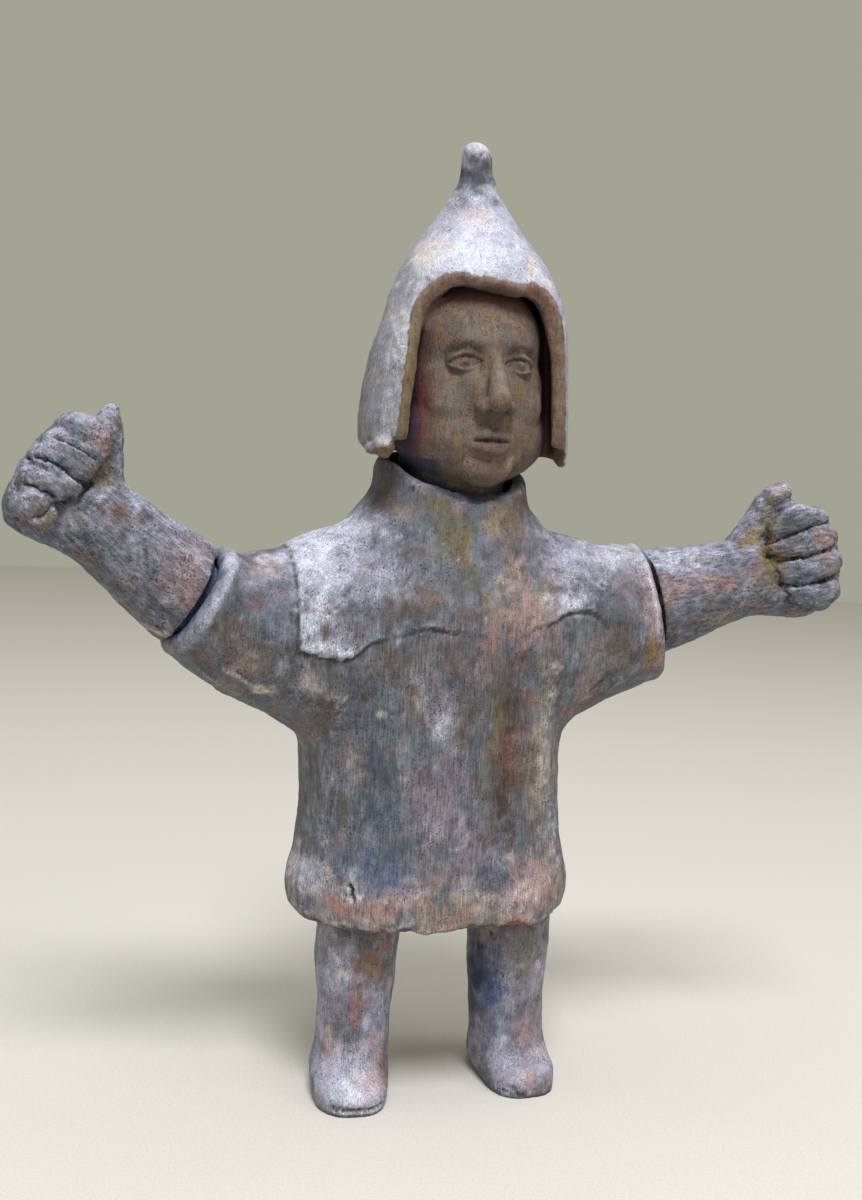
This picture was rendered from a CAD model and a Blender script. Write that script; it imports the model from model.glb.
"""The looks of a tomb guardian figure in fired clay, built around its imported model.

The figure stands on its boots with the soles at z = 0, faces -Y, and has its own right side at -X.
It has four pieces: the robed body, the hooded head that sits in the hollow collar, and the two
forearms that sit in the mouths of the sleeves. Each is put together from plain forms, fused into one
skin, worked over with tool marks, lumps and pits, and painted with worn slip and stains.

Free forms are given in shares of the figure's height: one U is a four-hundredth of it. They are drawn
around the upright axis of the robe, and each finished piece moves by AXIS to its place in the model.
"""

import logging
import math
from collections.abc import Iterable, Sequence
from dataclasses import dataclass, field
from enum import Enum
from itertools import product

import bmesh
import bpy
import numpy as np
from mathutils import Matrix, Vector

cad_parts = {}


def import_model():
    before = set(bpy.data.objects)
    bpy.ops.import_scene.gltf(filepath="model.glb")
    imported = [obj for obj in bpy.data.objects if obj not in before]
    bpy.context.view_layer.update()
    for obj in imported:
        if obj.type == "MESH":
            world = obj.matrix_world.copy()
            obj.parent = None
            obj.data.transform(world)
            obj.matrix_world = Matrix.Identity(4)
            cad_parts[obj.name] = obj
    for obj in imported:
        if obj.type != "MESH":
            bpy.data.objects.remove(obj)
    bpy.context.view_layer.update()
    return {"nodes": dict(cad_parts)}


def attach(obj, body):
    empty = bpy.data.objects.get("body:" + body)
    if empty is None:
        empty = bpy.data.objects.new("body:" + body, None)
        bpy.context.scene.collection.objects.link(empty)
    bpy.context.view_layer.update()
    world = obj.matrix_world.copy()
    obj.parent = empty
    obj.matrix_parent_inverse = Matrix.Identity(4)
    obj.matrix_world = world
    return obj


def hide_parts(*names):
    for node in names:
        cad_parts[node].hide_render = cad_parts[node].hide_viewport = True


LOG = logging.getLogger("tomb_figure")

Array = np.ndarray
Point = tuple[float, float, float]
Row = tuple[float, ...]
Ring = list[Vector]

HEIGHT = 0.400
U = HEIGHT / 400.0
AXIS = Vector((5.2, 6.4, 0.0)) * U
RING_SIDES = 96
LOFT_STEPS = 8
X_AXIS = Vector((1.0, 0.0, 0.0))
Y_AXIS = Vector((0.0, 1.0, 0.0))
Z_AXIS = Vector((0.0, 0.0, 1.0))
FRONT = (0.0, -1.0, 0.0)
# The collar's middle, and the thin gap under each piece that rests in a seat; in U.
COLLAR_X, COLLAR_Y = -0.6, -6.4
SEAT_GAP = 0.3


def smooth_rows(rows: Sequence[Row], steps: int = LOFT_STEPS) -> Array:
    """Draw a smooth curve through rows of numbers.

    Args:
        rows: The rows that the curve passes through.
        steps: How many rows to give for each gap between them.

    Returns:
        The rows along the curve, the last one included.
    """
    table = np.array(rows, dtype=float)
    ends = np.vstack([table[0], table, table[-1]])
    out = []
    for index in range(1, len(table)):
        before, start, stop, after = ends[index - 1:index + 3]
        for step in range(steps):
            t = step / steps
            bend = (2 * before - 5 * start + 4 * stop - after) * t * t
            twist = (3 * start - before - 3 * stop + after) * t ** 3
            out.append(0.5 * (2 * start + (stop - before) * t + bend + twist))
    out.append(table[-1])
    return np.array(out)


def oval(centre: Vector, across: Vector, along: Vector, half: float, ahead: float, behind: float,
         power: float) -> Ring:
    """Draw a rounded oval ring.

    Args:
        centre: Middle of the ring.
        across: Direction of its width.
        along: Direction of its depth; the side against it is the front.
        half: Half its width.
        ahead: How far the front reaches.
        behind: How far the back reaches.
        power: 2 for an ellipse, more for a squarer ring.

    Returns:
        The points of the ring.
    """
    ring = []
    for side in range(RING_SIDES):
        angle = 2.0 * math.pi * side / RING_SIDES
        cos_a, sin_a = math.cos(angle), math.sin(angle)
        x = half * math.copysign(abs(cos_a) ** (2.0 / power), cos_a)
        depth = behind if sin_a > 0.0 else ahead
        y = depth * math.copysign(abs(sin_a) ** (2.0 / power), sin_a)
        ring.append(centre + across * x + along * y)
    return ring


def level_oval(row: Row, power: float) -> Ring:
    """Draw a level oval ring.

    Args:
        row: Height, half width, front depth, back depth, centre x and centre y, in U.
        power: 2 for an ellipse, more for a squarer ring.

    Returns:
        The points of the ring, in metres.
    """
    z, half, front, back, x, y = row
    return oval(Vector((x, y, z)) * U, X_AXIS, Y_AXIS, half * U, front * U, back * U, power)


def inset(row: Row, z: float, wall: float) -> Row:
    """Give the row of a ring at height z, a wall's thickness inside another."""
    return (z, row[1] - wall, row[2] - wall, row[3] - wall, row[4], row[5])


def fade(value: Array, low: float, high: float) -> Array:
    """Rise smoothly from 0 at low to 1 at high."""
    t = np.clip((value - low) / (high - low), 0.0, 1.0)
    return t * t * (3.0 - 2.0 * t)


def distance_to_line(points: Array, line: Sequence[Point]) -> Array:
    """Measure how far points are from a line.

    Args:
        points: The points, one in each row.
        line: Corners of the line, or one spot.

    Returns:
        The distance of each point.
    """
    corners = np.array(line, dtype=float)
    nearest = np.linalg.norm(points - corners[0], axis=1)
    for start, stop in zip(corners, corners[1:]):
        span = stop - start
        at = np.clip(((points - start) @ span) / max(span @ span, 1e-12), 0.0, 1.0)
        nearest = np.minimum(nearest, np.linalg.norm(points - (start + at[:, None] * span), axis=1))
    return nearest


class Grain:
    """Smooth noise in space that comes out the same on every run."""

    def __init__(self, seed: int) -> None:
        """Shuffle the slopes of the noise.

        Args:
            seed: Which shuffle to use.
        """
        draw = np.random.default_rng(seed)
        order = draw.permutation(256)
        slopes = draw.normal(size=(256, 3))
        self.order = np.concatenate([order, order])
        self.slopes = slopes / np.linalg.norm(slopes, axis=1, keepdims=True)

    def at(self, points: Array) -> Array:
        """Give plain noise.

        Args:
            points: The points; one unit is the size of one lump.

        Returns:
            The noise at each point, from about -1 to 1.
        """
        base = np.floor(points).astype(np.int64)
        part = points - base
        ease = part ** 3 * (part * (part * 6.0 - 15.0) + 10.0)
        total = np.zeros(len(points))
        for corner in product((0, 1), repeat=3):
            cell = (base + corner) & 255
            key = self.order[self.order[self.order[cell[:, 0]] + cell[:, 1]] + cell[:, 2]]
            slope = ((part - corner) * self.slopes[key]).sum(axis=1)
            share = np.where(np.array(corner) == 1, ease, 1.0 - ease).prod(axis=1)
            total += slope * share
        return total * 1.6

    def lumps(self, points: Array, size: float | Point, octaves: int = 2, shift: float = 0.0) -> Array:
        """Give noise with finer noise on top.

        Args:
            points: Points in U.
            size: Size of one lump in U, or its sizes along x, y and z.
            octaves: How many layers, each half as large and half as strong as the one before.
            shift: Moves the noise, so that two layers differ.

        Returns:
            The noise at each point, from about -1 to 1.
        """
        spread = points / np.array(size) + shift * 7.31
        total = np.zeros(len(points))
        for octave in range(octaves):
            total += self.at(spread * 2.0 ** octave + 17.0 * octave) * 0.5 ** octave
        return total

    def layers(self, points: Array, *rows: tuple[float, float | Point, int, float]) -> Array:
        """Add up layers of noise.

        Args:
            points: Points in U.
            rows: Strength, size of one lump, octaves and shift of each layer.

        Returns:
            The sum at each point.
        """
        return sum(strength * self.lumps(points, *noise) for strength, *noise in rows)


class Edge(Enum):
    """How a tool mark runs out to its sides."""

    ROUND = "round"
    SHARP = "sharp"
    RING = "ring"


@dataclass(frozen=True)
class Mark:
    """One mark of the modeller's tool or of wear: raised where height is above 0, else pressed in.

    Lengths are in U and the path is in the figure's own coordinates. A mark with a through direction
    is worked straight in from that side, so its depth on the path doesn't count.
    """

    path: tuple[Point, ...]
    width: float
    height: float
    edge: Edge = Edge.ROUND
    ragged: float = 0.3
    through: Point | None = None

    def amount(self, points: Array, normals: Array, grain: Grain) -> Array:
        """Work out how far the mark moves each point along its normal.

        Args:
            points: Points in U.
            normals: Directions in which the skin faces there.
            grain: Noise that breaks the mark up.

        Returns:
            The move of each point in U.
        """
        path, facing = np.array(self.path, dtype=float), 1.0
        places = points
        if self.through is not None:
            way = np.array(self.through)
            path = path - np.outer(path @ way, way)
            places = points - np.outer(points @ way, way)
            facing = fade(normals @ way, 0.0, 0.4)
        gap = distance_to_line(places, path) / self.width
        move = np.zeros(len(points))
        near = gap < 5.0
        if not near.any():
            return move
        gap = gap[near]
        if self.edge is Edge.ROUND:
            shape = np.exp(-gap * gap)
        elif self.edge is Edge.SHARP:
            shape = np.exp(-1.4 * gap)
        else:
            shape = np.exp(-((gap - 1.0) / 0.42) ** 2) - 1.3 * np.exp(-(gap / 0.55) ** 2)
        rough = 1.0 + self.ragged * grain.lumps(points[near], max(1.6, 0.8 * self.width))
        move[near] = self.height * shape * rough
        return move * facing


def spots(*rows: Row, ragged: float = 0.3) -> tuple[Mark, ...]:
    """Give marks at single places: rows of x, y, z, width and height."""
    return tuple(Mark((row[:3],), row[3], row[4], ragged=ragged) for row in rows)


class Clay:
    """A body of clay: plain forms put together, fused into one skin and worked over."""

    def __init__(self, name: str) -> None:
        """Start with no clay.

        Args:
            name: Name of the piece that the clay becomes.
        """
        self.name = name
        self.bm = bmesh.new()
        self.obj: bpy.types.Object | None = None

    def loft(self, rings: Sequence[Ring]) -> None:
        """Add a closed body with a skin over a row of rings.

        Args:
            rings: The rings, each with as many points.
        """
        rows = [[self.bm.verts.new(point) for point in ring] for ring in rings]
        faces = []
        for low, high in zip(rows, rows[1:]):
            for side in range(len(low)):
                after = (side + 1) % len(low)
                faces.append(self.bm.faces.new((low[side], low[after], high[after], high[side])))
        faces.append(self.bm.faces.new(tuple(reversed(rows[0]))))
        faces.append(self.bm.faces.new(tuple(rows[-1])))
        bmesh.ops.recalc_face_normals(self.bm, faces=faces)

    def ball(self, centre: Point, radii: Point, turn: float = 0.0) -> None:
        """Add an oval ball.

        Args:
            centre: Its middle in U.
            radii: Its half sizes in U.
            turn: Degrees that it is turned about Y.
        """
        place = Matrix.Translation(Vector(centre) * U) @ Matrix.Rotation(math.radians(turn), 4, "Y")
        place = place @ Matrix.Diagonal((*(radius * U for radius in radii), 1.0))
        bmesh.ops.create_icosphere(self.bm, subdivisions=4, radius=1.0, matrix=place)

    def limb(self, stations: Sequence[Row], steps: int = LOFT_STEPS) -> None:
        """Add a round limb with a rounded far tip.

        Args:
            stations: Rows of x, y, z and radius in U.
            steps: Rings for each gap between stations.
        """
        rows = smooth_rows(stations, steps)
        points = [Vector(row[:3]) * U for row in rows]
        radii = [row[3] * U for row in rows]
        ahead = (points[-1] - points[-2]).normalized()
        tip, last = points[-1], radii[-1]
        for angle in (25.0, 50.0, 70.0, 82.0):
            points.append(tip + ahead * (math.sin(math.radians(angle)) * last))
            radii.append(math.cos(math.radians(angle)) * last)
        rings = []
        across = None
        for index, point in enumerate(points):
            ahead = points[min(index + 1, len(points) - 1)] - points[max(index - 1, 0)]
            ahead.normalize()
            if across is None:
                across = ahead.orthogonal().normalized()
            across = (across - ahead * across.dot(ahead)).normalized()
            radius = radii[index]
            rings.append(oval(point, across, ahead.cross(across), radius, radius, radius, 2.0))
        self.loft(rings)

    def fuse(self, voxel: float) -> None:
        """Fuse everything into one skin.

        Args:
            voxel: Size of the skin's faces in metres.
        """
        mesh = bpy.data.meshes.new(self.name)
        self.bm.to_mesh(mesh)
        self.bm.free()
        if self.obj is None:
            self.obj = bpy.data.objects.new(self.name, mesh)
            bpy.context.scene.collection.objects.link(self.obj)
        else:
            old, self.obj.data = self.obj.data, mesh
            bpy.data.meshes.remove(old)
        remesh = self.obj.modifiers.new("fuse", "REMESH")
        remesh.mode = "VOXEL"
        remesh.voxel_size = voxel
        self._settle()

    def reopen(self) -> None:
        """Take the skin up again, so that more forms can be added to it."""
        self.bm = bmesh.new()
        self.bm.from_mesh(self.obj.data)

    def cut(self, rings: Sequence[Ring]) -> None:
        """Take a lofted form away.

        Args:
            rings: Rings of the form.
        """
        cutter = Clay("cutter")
        cutter.loft(rings)
        mesh = bpy.data.meshes.new("cutter")
        cutter.bm.to_mesh(mesh)
        cutter.bm.free()
        tool = bpy.data.objects.new("cutter", mesh)
        bpy.context.scene.collection.objects.link(tool)
        boolean = self.obj.modifiers.new("cut", "BOOLEAN")
        boolean.operation = "DIFFERENCE"
        boolean.solver = "EXACT"
        boolean.object = tool
        self._settle()
        bpy.data.objects.remove(tool)

    def shave(self, place: Vector, outward: Vector) -> None:
        """Cut away what lies beyond a plane and leave a flat face there.

        Args:
            place: A point of the plane, in metres.
            outward: The side that goes.
        """
        mesh = self.obj.data
        bm = bmesh.new()
        bm.from_mesh(mesh)
        everything = bm.verts[:] + bm.edges[:] + bm.faces[:]
        cut_off = bmesh.ops.bisect_plane(bm, geom=everything, dist=0.00001, plane_co=place,
                                         plane_no=outward, clear_outer=True)
        edges = [item for item in cut_off["geom_cut"] if isinstance(item, bmesh.types.BMEdge)]
        bmesh.ops.holes_fill(bm, edges=edges)
        bmesh.ops.recalc_face_normals(bm, faces=bm.faces[:])
        bm.to_mesh(mesh)
        bm.free()
        self._read_edges()

    def _settle(self) -> None:
        """Make the modifiers part of the mesh."""
        bpy.context.view_layer.update()
        graph = bpy.context.evaluated_depsgraph_get()
        mesh = bpy.data.meshes.new_from_object(self.obj.evaluated_get(graph))
        self.obj.modifiers.clear()
        old, self.obj.data = self.obj.data, mesh
        bpy.data.meshes.remove(old)
        mesh.name = self.name
        self._read_edges()

    def _read_edges(self) -> None:
        """Keep which points are neighbours."""
        mesh = self.obj.data
        edges = np.empty(len(mesh.edges) * 2, dtype=np.int64)
        mesh.edges.foreach_get("vertices", edges)
        self.first, self.second = edges.reshape(-1, 2).T
        count = np.bincount(np.concatenate([self.first, self.second]), minlength=len(mesh.vertices))
        self.count = np.maximum(count, 1)

    @property
    def points(self) -> Array:
        """Measure where the skin's points are.

        Returns:
            Their places, in U.
        """
        out = np.empty(len(self.obj.data.vertices) * 3)
        self.obj.data.vertices.foreach_get("co", out)
        return out.reshape(-1, 3) / U

    @points.setter
    def points(self, places: Array) -> None:
        """Move the skin's points to places in U."""
        self.obj.data.vertices.foreach_set("co", (places * U).ravel())
        self.obj.data.update()

    @property
    def normals(self) -> Array:
        """Measure which way the skin faces at its points.

        Returns:
            The directions, each of length 1.
        """
        out = np.empty(len(self.obj.data.vertices) * 3)
        self.obj.data.vertex_normals.foreach_get("vector", out)
        return out.reshape(-1, 3)

    def middle(self, values: Array) -> Array:
        """Give each point the mean of its neighbours' values.

        Args:
            values: A value, or a row of them, for each point.

        Returns:
            The means, in the same form.
        """
        columns = values.reshape(len(values), -1)
        out = np.empty_like(columns)
        for axis in range(columns.shape[1]):
            sums = np.bincount(self.first, columns[self.second, axis], len(columns))
            sums += np.bincount(self.second, columns[self.first, axis], len(columns))
            out[:, axis] = sums / self.count
        return out.reshape(values.shape)

    def smoothed(self, passes: int, weight: Array | None = None) -> Array:
        """Work out the points after smoothing, in U.

        Args:
            passes: How often each point moves half way to the middle of its neighbours.
            weight: How much each point takes part, from 0 to 1.

        Returns:
            The smoothed places; the skin itself isn't changed.
        """
        places = self.points
        share = 0.5 if weight is None else 0.5 * weight[:, None]
        for _ in range(passes):
            places = places + share * (self.middle(places) - places)
        return places

    def soften(self, passes: int, weight: Array | None = None) -> None:
        """Smooth the skin, fully or by a weight for each point."""
        self.points = self.smoothed(passes, weight)

    def push(self, amount: Array) -> None:
        """Move each point along its normal by an amount in U."""
        self.points = self.points + self.normals * amount[:, None]

    def tool(self, marks: Iterable[Mark], grain: Grain) -> None:
        """Work a set of marks into the skin."""
        points, normals = self.points, self.normals
        self.push(sum((mark.amount(points, normals, grain) for mark in marks), np.zeros(len(points))))

    def hollowness(self, passes: int) -> Array:
        """How deep each point lies below its surroundings, in U: above 0 in a hollow."""
        return ((self.smoothed(passes) - self.points) * self.normals).sum(axis=1)


class Pigment(Enum):
    """The colours of the clay, the slip and the stains, as they look in plain light."""

    SLATE = "5e626c"
    STEEL = "4f5866"
    BLUE = "46567c"
    NAVY = "262c40"
    LILAC = "aaa9bf"
    CHALK = "d2d4e2"
    MAUVE = "6f626b"
    UMBER = "5b4d46"
    BARK = "43362e"
    ROSE = "9e7e7c"
    BLUSH = "ceb0ae"
    CREAM = "d2c8b0"
    SAND = "98846b"
    OCHRE = "8b6c30"
    OLIVE = "615a33"
    ORANGE = "ad6f54"
    RUST = "7c4b3a"
    WINE = "541f22"
    SOOT = "2a292d"
    STONE = "7f7b75"
    CLAY = "75604f"

    @property
    def linear(self) -> Array:
        """The colour as linear red, green and blue."""
        values = np.array([int(self.value[at:at + 2], 16) for at in (0, 2, 4)]) / 255.0
        return np.where(values <= 0.04045, values / 12.92, ((values + 0.055) / 1.055) ** 2.4)

    @property
    def dry(self) -> bool:
        """Whether it is brushed on dry and lies broken over the rest; the others soak in."""
        return self in (Pigment.LILAC, Pigment.CHALK, Pigment.BLUSH, Pigment.CREAM)


@dataclass(frozen=True)
class Stain:
    """Patches of one colour with soft, ragged edges.

    Each spot has its x, y and z, its reach along them and its strength; lengths are in U.
    """

    pigment: Pigment
    spots: tuple[Row, ...]
    ragged: float = 0.45


class Coat:
    """The paint on a piece: clay colours, dry slip over them, and wear, for each point of its skin."""

    def __init__(self, clay: Clay, grain: Grain, ground: Pigment) -> None:
        """Cover the skin with one colour.

        Args:
            clay: The finished skin.
            grain: Noise for patches and ragged edges.
            ground: The first colour.
        """
        self.clay = clay
        self.grain = grain
        self.points = clay.points
        self.normals = clay.normals
        count = len(self.points)
        self.body = np.tile(ground.linear, (count, 1))
        self.slip = np.tile(Pigment.LILAC.linear, (count, 1))
        self.cover = np.full(count, 0.1)
        self.specks = np.clip(0.3 + 0.5 * grain.lumps(self.points, 11.0, 3, 13.0), 0.0, 1.0)
        bend = [grain.lumps(self.points, 9.0, 3, 20.0 + axis) for axis in range(3)]
        self.bent = self.points + 3.4 * np.stack(bend, axis=1)
        self.strokes = np.full(count, 0.6)
        self.way = self.points

    def lay(self, pigment: Pigment, weight: Array) -> None:
        """Lay a colour: soaked in, or brushed on dry.

        Args:
            pigment: The colour.
            weight: How strong it is at each point, from 0 to 1.
        """
        weight = np.clip(weight, 0.0, 1.0)
        if pigment.dry:
            total = self.cover + (1.0 - self.cover) * weight
            share = (weight / np.maximum(total, 1e-6))[:, None]
            self.slip = self.slip * (1.0 - share) + pigment.linear * share
            self.cover = total
        else:
            self.body = self.body * (1.0 - weight[:, None]) + pigment.linear * weight[:, None]
            self.cover = self.cover * (1.0 - 0.7 * weight)

    def mottle(self, pigment: Pigment, size: float | Point, spread: float, strength: float,
               shift: float, where: Array | float = 1.0) -> None:
        """Lay a colour in cloudy patches.

        Args:
            pigment: The colour.
            size: Size of a patch in U, or its sizes along x, y and z.
            spread: Share of the skin that the patches take, roughly.
            strength: How strong the colour is inside a patch.
            shift: Moves the pattern.
            where: How much each point takes part.
        """
        cloud = self.grain.lumps(self.points, size, 4, shift)
        edge = 0.75 - 1.5 * spread
        self.lay(pigment, fade(cloud, edge - 0.12, edge + 0.45) * strength * where)

    def stain(self, stains: Iterable[Stain]) -> None:
        """Lay patches of colour at their places.

        Args:
            stains: The patches.
        """
        rough = self.grain.lumps(self.points, 6.0, 5, 3.0)
        for patch in stains:
            for spot in patch.spots:
                apart = (self.bent - np.array(spot[:3])) / np.array(spot[3:6])
                gap = np.linalg.norm(apart, axis=1)
                weight = fade(1.35 - gap + patch.ragged * rough, 0.0, 1.15)
                self.lay(patch.pigment, weight * spot[6])

    def wear(self, fine: int, broad: int, dry: Array | float = 1.0) -> None:
        """Let dirt gather in hollows and dry slip stay on ridges.

        Args:
            fine: Smoothing that finds small hollows.
            broad: Smoothing that finds wide hollows.
            dry: How much slip each point keeps on its ridges.
        """
        small, wide = self.clay.hollowness(fine), self.clay.hollowness(broad)
        self.lay(Pigment.BARK, fade(wide, 0.2, 1.1) * 0.5)
        self.lay(Pigment.SOOT, fade(small, 0.05, 0.30) * 0.8)
        self.lay(Pigment.CHALK, fade(-small, 0.06, 0.26) * 0.35 * dry)
        self.lay(Pigment.LILAC, fade(-wide, 0.3, 1.2) * 0.3 * dry)

    def store(self) -> None:
        """Keep the coat in the mesh, for the finish to read."""
        mesh = self.clay.obj.data
        solid = np.ones(len(self.points))
        wear = np.stack([self.specks, self.strokes, solid, solid], axis=1)
        layers = {"paint": np.column_stack([self.body, solid]),
                  "slip": np.column_stack([self.slip, self.cover]), "wear": wear}
        for name, values in layers.items():
            layer = mesh.color_attributes.new(name, "FLOAT_COLOR", "POINT")
            layer.data.foreach_set("color", np.clip(values, 0.0, 1.0).ravel())
        layer = mesh.attributes.new("way", "FLOAT_VECTOR", "POINT")
        layer.data.foreach_set("vector", (self.way * U).ravel())


class Nodes:
    """A short way to write a material's nodes."""

    def __init__(self, tree: bpy.types.NodeTree) -> None:
        """Work in a node tree.

        Args:
            tree: The tree of the material.
        """
        self.tree = tree

    def add(self, kind: str, inputs: dict[str | int, object] | None = None,
            **settings: object) -> bpy.types.Node:
        """Add a node.

        Args:
            kind: Its type, without the word ShaderNode.
            inputs: What goes into its sockets: a value, or another node's output.
            settings: Its own settings.

        Returns:
            The node.
        """
        node = self.tree.nodes.new("ShaderNode" + kind)
        for name, value in settings.items():
            setattr(node, name, value)
        for name, value in (inputs or {}).items():
            if isinstance(value, bpy.types.NodeSocket):
                self.tree.links.new(value, node.inputs[name])
            else:
                node.inputs[name].default_value = value
        return node

    def noise(self, place: bpy.types.NodeSocket, scale: Point, detail: float,
              roughness: float = 0.6) -> bpy.types.NodeSocket:
        """Add noise with a size of its own along each axis.

        Args:
            place: Where the noise is read.
            scale: Lumps for each metre along x, y and z.
            detail: How many finer layers it has.
            roughness: How strong these are.

        Returns:
            The noise, around 0.
        """
        spread = self.add("Mapping", {"Vector": place, "Scale": scale})
        made = self.add("TexNoise", {"Vector": spread.outputs[0], "Scale": 1.0, "Detail": detail,
                                     "Roughness": roughness})
        return self.add("Math", {0: made.outputs[0], 1: 0.5}, operation="SUBTRACT").outputs[0]

    def ramp(self, value: bpy.types.NodeSocket, low: float, high: float, start: float = 0.0,
             stop: float = 1.0) -> bpy.types.NodeSocket:
        """Add a smooth rise.

        Args:
            value: What is read.
            low: Where the rise begins.
            high: Where it ends.
            start: What it gives at low.
            stop: What it gives at high.

        Returns:
            The risen value.
        """
        made = self.add("MapRange", {0: value, 1: low, 2: high, 3: start, 4: stop},
                        interpolation_type="SMOOTHSTEP")
        return made.outputs[0]

    def total(self, start: float, *parts: tuple[bpy.types.NodeSocket, object]) -> bpy.types.NodeSocket:
        """Add up values, each times its weight.

        Args:
            start: A number to begin with.
            parts: Values with their weights.

        Returns:
            The sum.
        """
        result: object = start
        for value, weight in parts:
            made = self.add("Math", {0: value, 1: weight, 2: result}, operation="MULTIPLY_ADD")
            result = made.outputs[0]
        return result

    def shade(self, colour: bpy.types.NodeSocket, tone: bpy.types.NodeSocket) -> bpy.types.NodeSocket:
        """A colour made lighter or darker."""
        return self.add("VectorMath", {0: colour, 3: tone}, operation="SCALE").outputs[0]

    def mix(self, share: object, first: object, second: object) -> bpy.types.NodeSocket:
        """Two colours mixed by a share of the second."""
        made = self.add("Mix", {0: share, 6: first, 7: second}, data_type="RGBA")
        return made.outputs[2]


@dataclass(frozen=True)
class ClayFinish:
    """Matt fired clay under worn slip: soaked colours, broken dry slip, fine strokes and dark specks.

    Scales are lumps for each metre, along the three axes of the strokes.
    """

    name: str
    stroke: Point
    dry_stroke: Point
    roughness: float = 0.66
    specular: float = 0.36
    relief: float = 0.00040
    cloud: float = 1.0
    hair: float = 1.0

    def make(self) -> bpy.types.Material:
        """Build the material.

        Returns:
            The material.
        """
        made = bpy.data.materials.new(self.name)
        made.use_nodes = True
        nodes = Nodes(made.node_tree)
        link = made.node_tree.links.new
        shader = made.node_tree.nodes["Principled BSDF"]
        way = nodes.add("Attribute", attribute_name="way").outputs["Vector"]
        paint = nodes.add("Attribute", attribute_name="paint").outputs["Color"]
        slip = nodes.add("Attribute", attribute_name="slip").outputs
        wear = nodes.add("Attribute", attribute_name="wear").outputs["Color"]
        specks, strokes, _ = nodes.add("SeparateColor", {0: wear}).outputs

        hair = nodes.noise(way, self.stroke, 3.0, 0.65)
        dry = nodes.noise(way, self.dry_stroke, 3.0, 0.7)
        fine = nodes.noise(way, (2100.0,) * 3, 2.0)
        blotch = nodes.noise(way, (260.0, 260.0, 200.0), 5.0, 0.68)
        grit = nodes.noise(way, (1500.0,) * 3, 1.0, 0.5)

        brushed = nodes.total(0.0, (hair, strokes))
        cloud, streak = self.cloud, self.hair
        tone = nodes.total(1.0, (brushed, 2.4 * streak), (fine, 1.5), (blotch, 1.4 * cloud))
        ground = nodes.shade(paint, tone)
        light = nodes.total(1.0, (fine, 1.1), (hair, 0.8 * streak), (blotch, 0.7 * cloud))
        pale = nodes.shade(slip["Color"], light)
        haze = nodes.total(0.0, (slip["Alpha"], 0.78), (blotch, 0.5 * cloud), (brushed, 0.5 * streak))
        colour = nodes.mix(nodes.ramp(haze, 0.0, 1.0, 0.0, 0.9), ground, pale)
        broken = nodes.total(-0.22, (slip["Alpha"], 0.27), (dry, 0.60), (blotch, 0.22), (fine, 0.30))
        mask = nodes.ramp(broken, -0.03, 0.05, 0.0, 0.7 * cloud)
        colour = nodes.mix(mask, colour, nodes.shade(pale, 1.12))
        dark = nodes.ramp(nodes.total(0.0, (specks, 0.16), (grit, 1.0)), 0.20, 0.28, 0.0, 0.85)
        colour = nodes.mix(dark, colour, (0.016, 0.015, 0.018, 1.0))
        link(colour, shader.inputs["Base Color"])

        rough = nodes.ramp(nodes.total(0.0, (fine, 1.0), (mask, 0.15)), -0.25, 0.35,
                           self.roughness - 0.10, self.roughness + 0.18)
        link(rough, shader.inputs["Roughness"])
        shader.inputs["Specular IOR Level"].default_value = self.specular
        height = nodes.total(0.0, (brushed, 1.3), (fine, 1.0), (mask, 0.35), (dark, -0.6), (blotch, 0.8))
        bump = nodes.add("Bump", {"Height": height, "Strength": 0.85, "Distance": self.relief})
        link(bump.outputs[0], shader.inputs["Normal"])
        return made


@dataclass(frozen=True)
class Arm:
    """Where a forearm meets its sleeve: how the sleeve's end and the arm are turned, in degrees."""

    side: int
    place: Point
    end_rise: float
    end_forward: float
    arm_rise: float
    arm_forward: float

    @property
    def seat(self) -> Vector:
        """Middle of the sleeve's end, in metres."""
        return Vector(self.place) * U

    def frame(self, bend: float = 0.0, extra_rise: float = 0.0,
              extra_forward: float = 0.0) -> tuple[Vector, Vector, Vector]:
        """Find the directions of the arm.

        Args:
            bend: 0 at the sleeve's end, 1 on the arm.
            extra_rise: Degrees that a hand rises more than its arm.
            extra_forward: Degrees that a hand turns forward more than its arm.

        Returns:
            The directions along the arm, to the front and up.
        """
        rise = self.end_rise + (self.arm_rise - self.end_rise) * bend + extra_rise
        forward = self.end_forward + (self.arm_forward - self.end_forward) * bend + extra_forward
        return turned(rise, forward, self.side)


def turned(rise: float, forward: float, side: int) -> tuple[Vector, Vector, Vector]:
    """Find the directions of a turned arm.

    Args:
        rise: Degrees that the arm rises.
        forward: Degrees that it turns forward.
        side: -1 for the right arm, 1 for the left.

    Returns:
        The directions along the arm, to the front and up.
    """
    rise, forward = math.radians(rise), math.radians(forward)
    along = Vector((side * math.cos(rise) * math.cos(forward), -math.cos(rise) * math.sin(forward),
                    math.sin(rise)))
    up = Vector((-side * math.sin(rise) * math.cos(forward), math.sin(rise) * math.sin(forward),
                 math.cos(rise)))
    front = Vector((-side * math.sin(forward), -math.cos(forward), 0.0))
    return along, front, up


RIGHT_ARM = Arm(-1, (-108.5, -10.5, 211.5), 30.0, 7.0, 38.0, 6.0)
LEFT_ARM = Arm(1, (92.0, -12.6, 211.0), 12.5, 14.0, 17.0, 16.0)
PLUG_RIGHT = (20.6, 20.4)
PLUG_LEFT = (22.6, 21.4)
SLEEVE_LIP = 5.2
MOUTH_DEPTH = 7.0
FOREARM_CLEARANCE = 1.6


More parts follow.
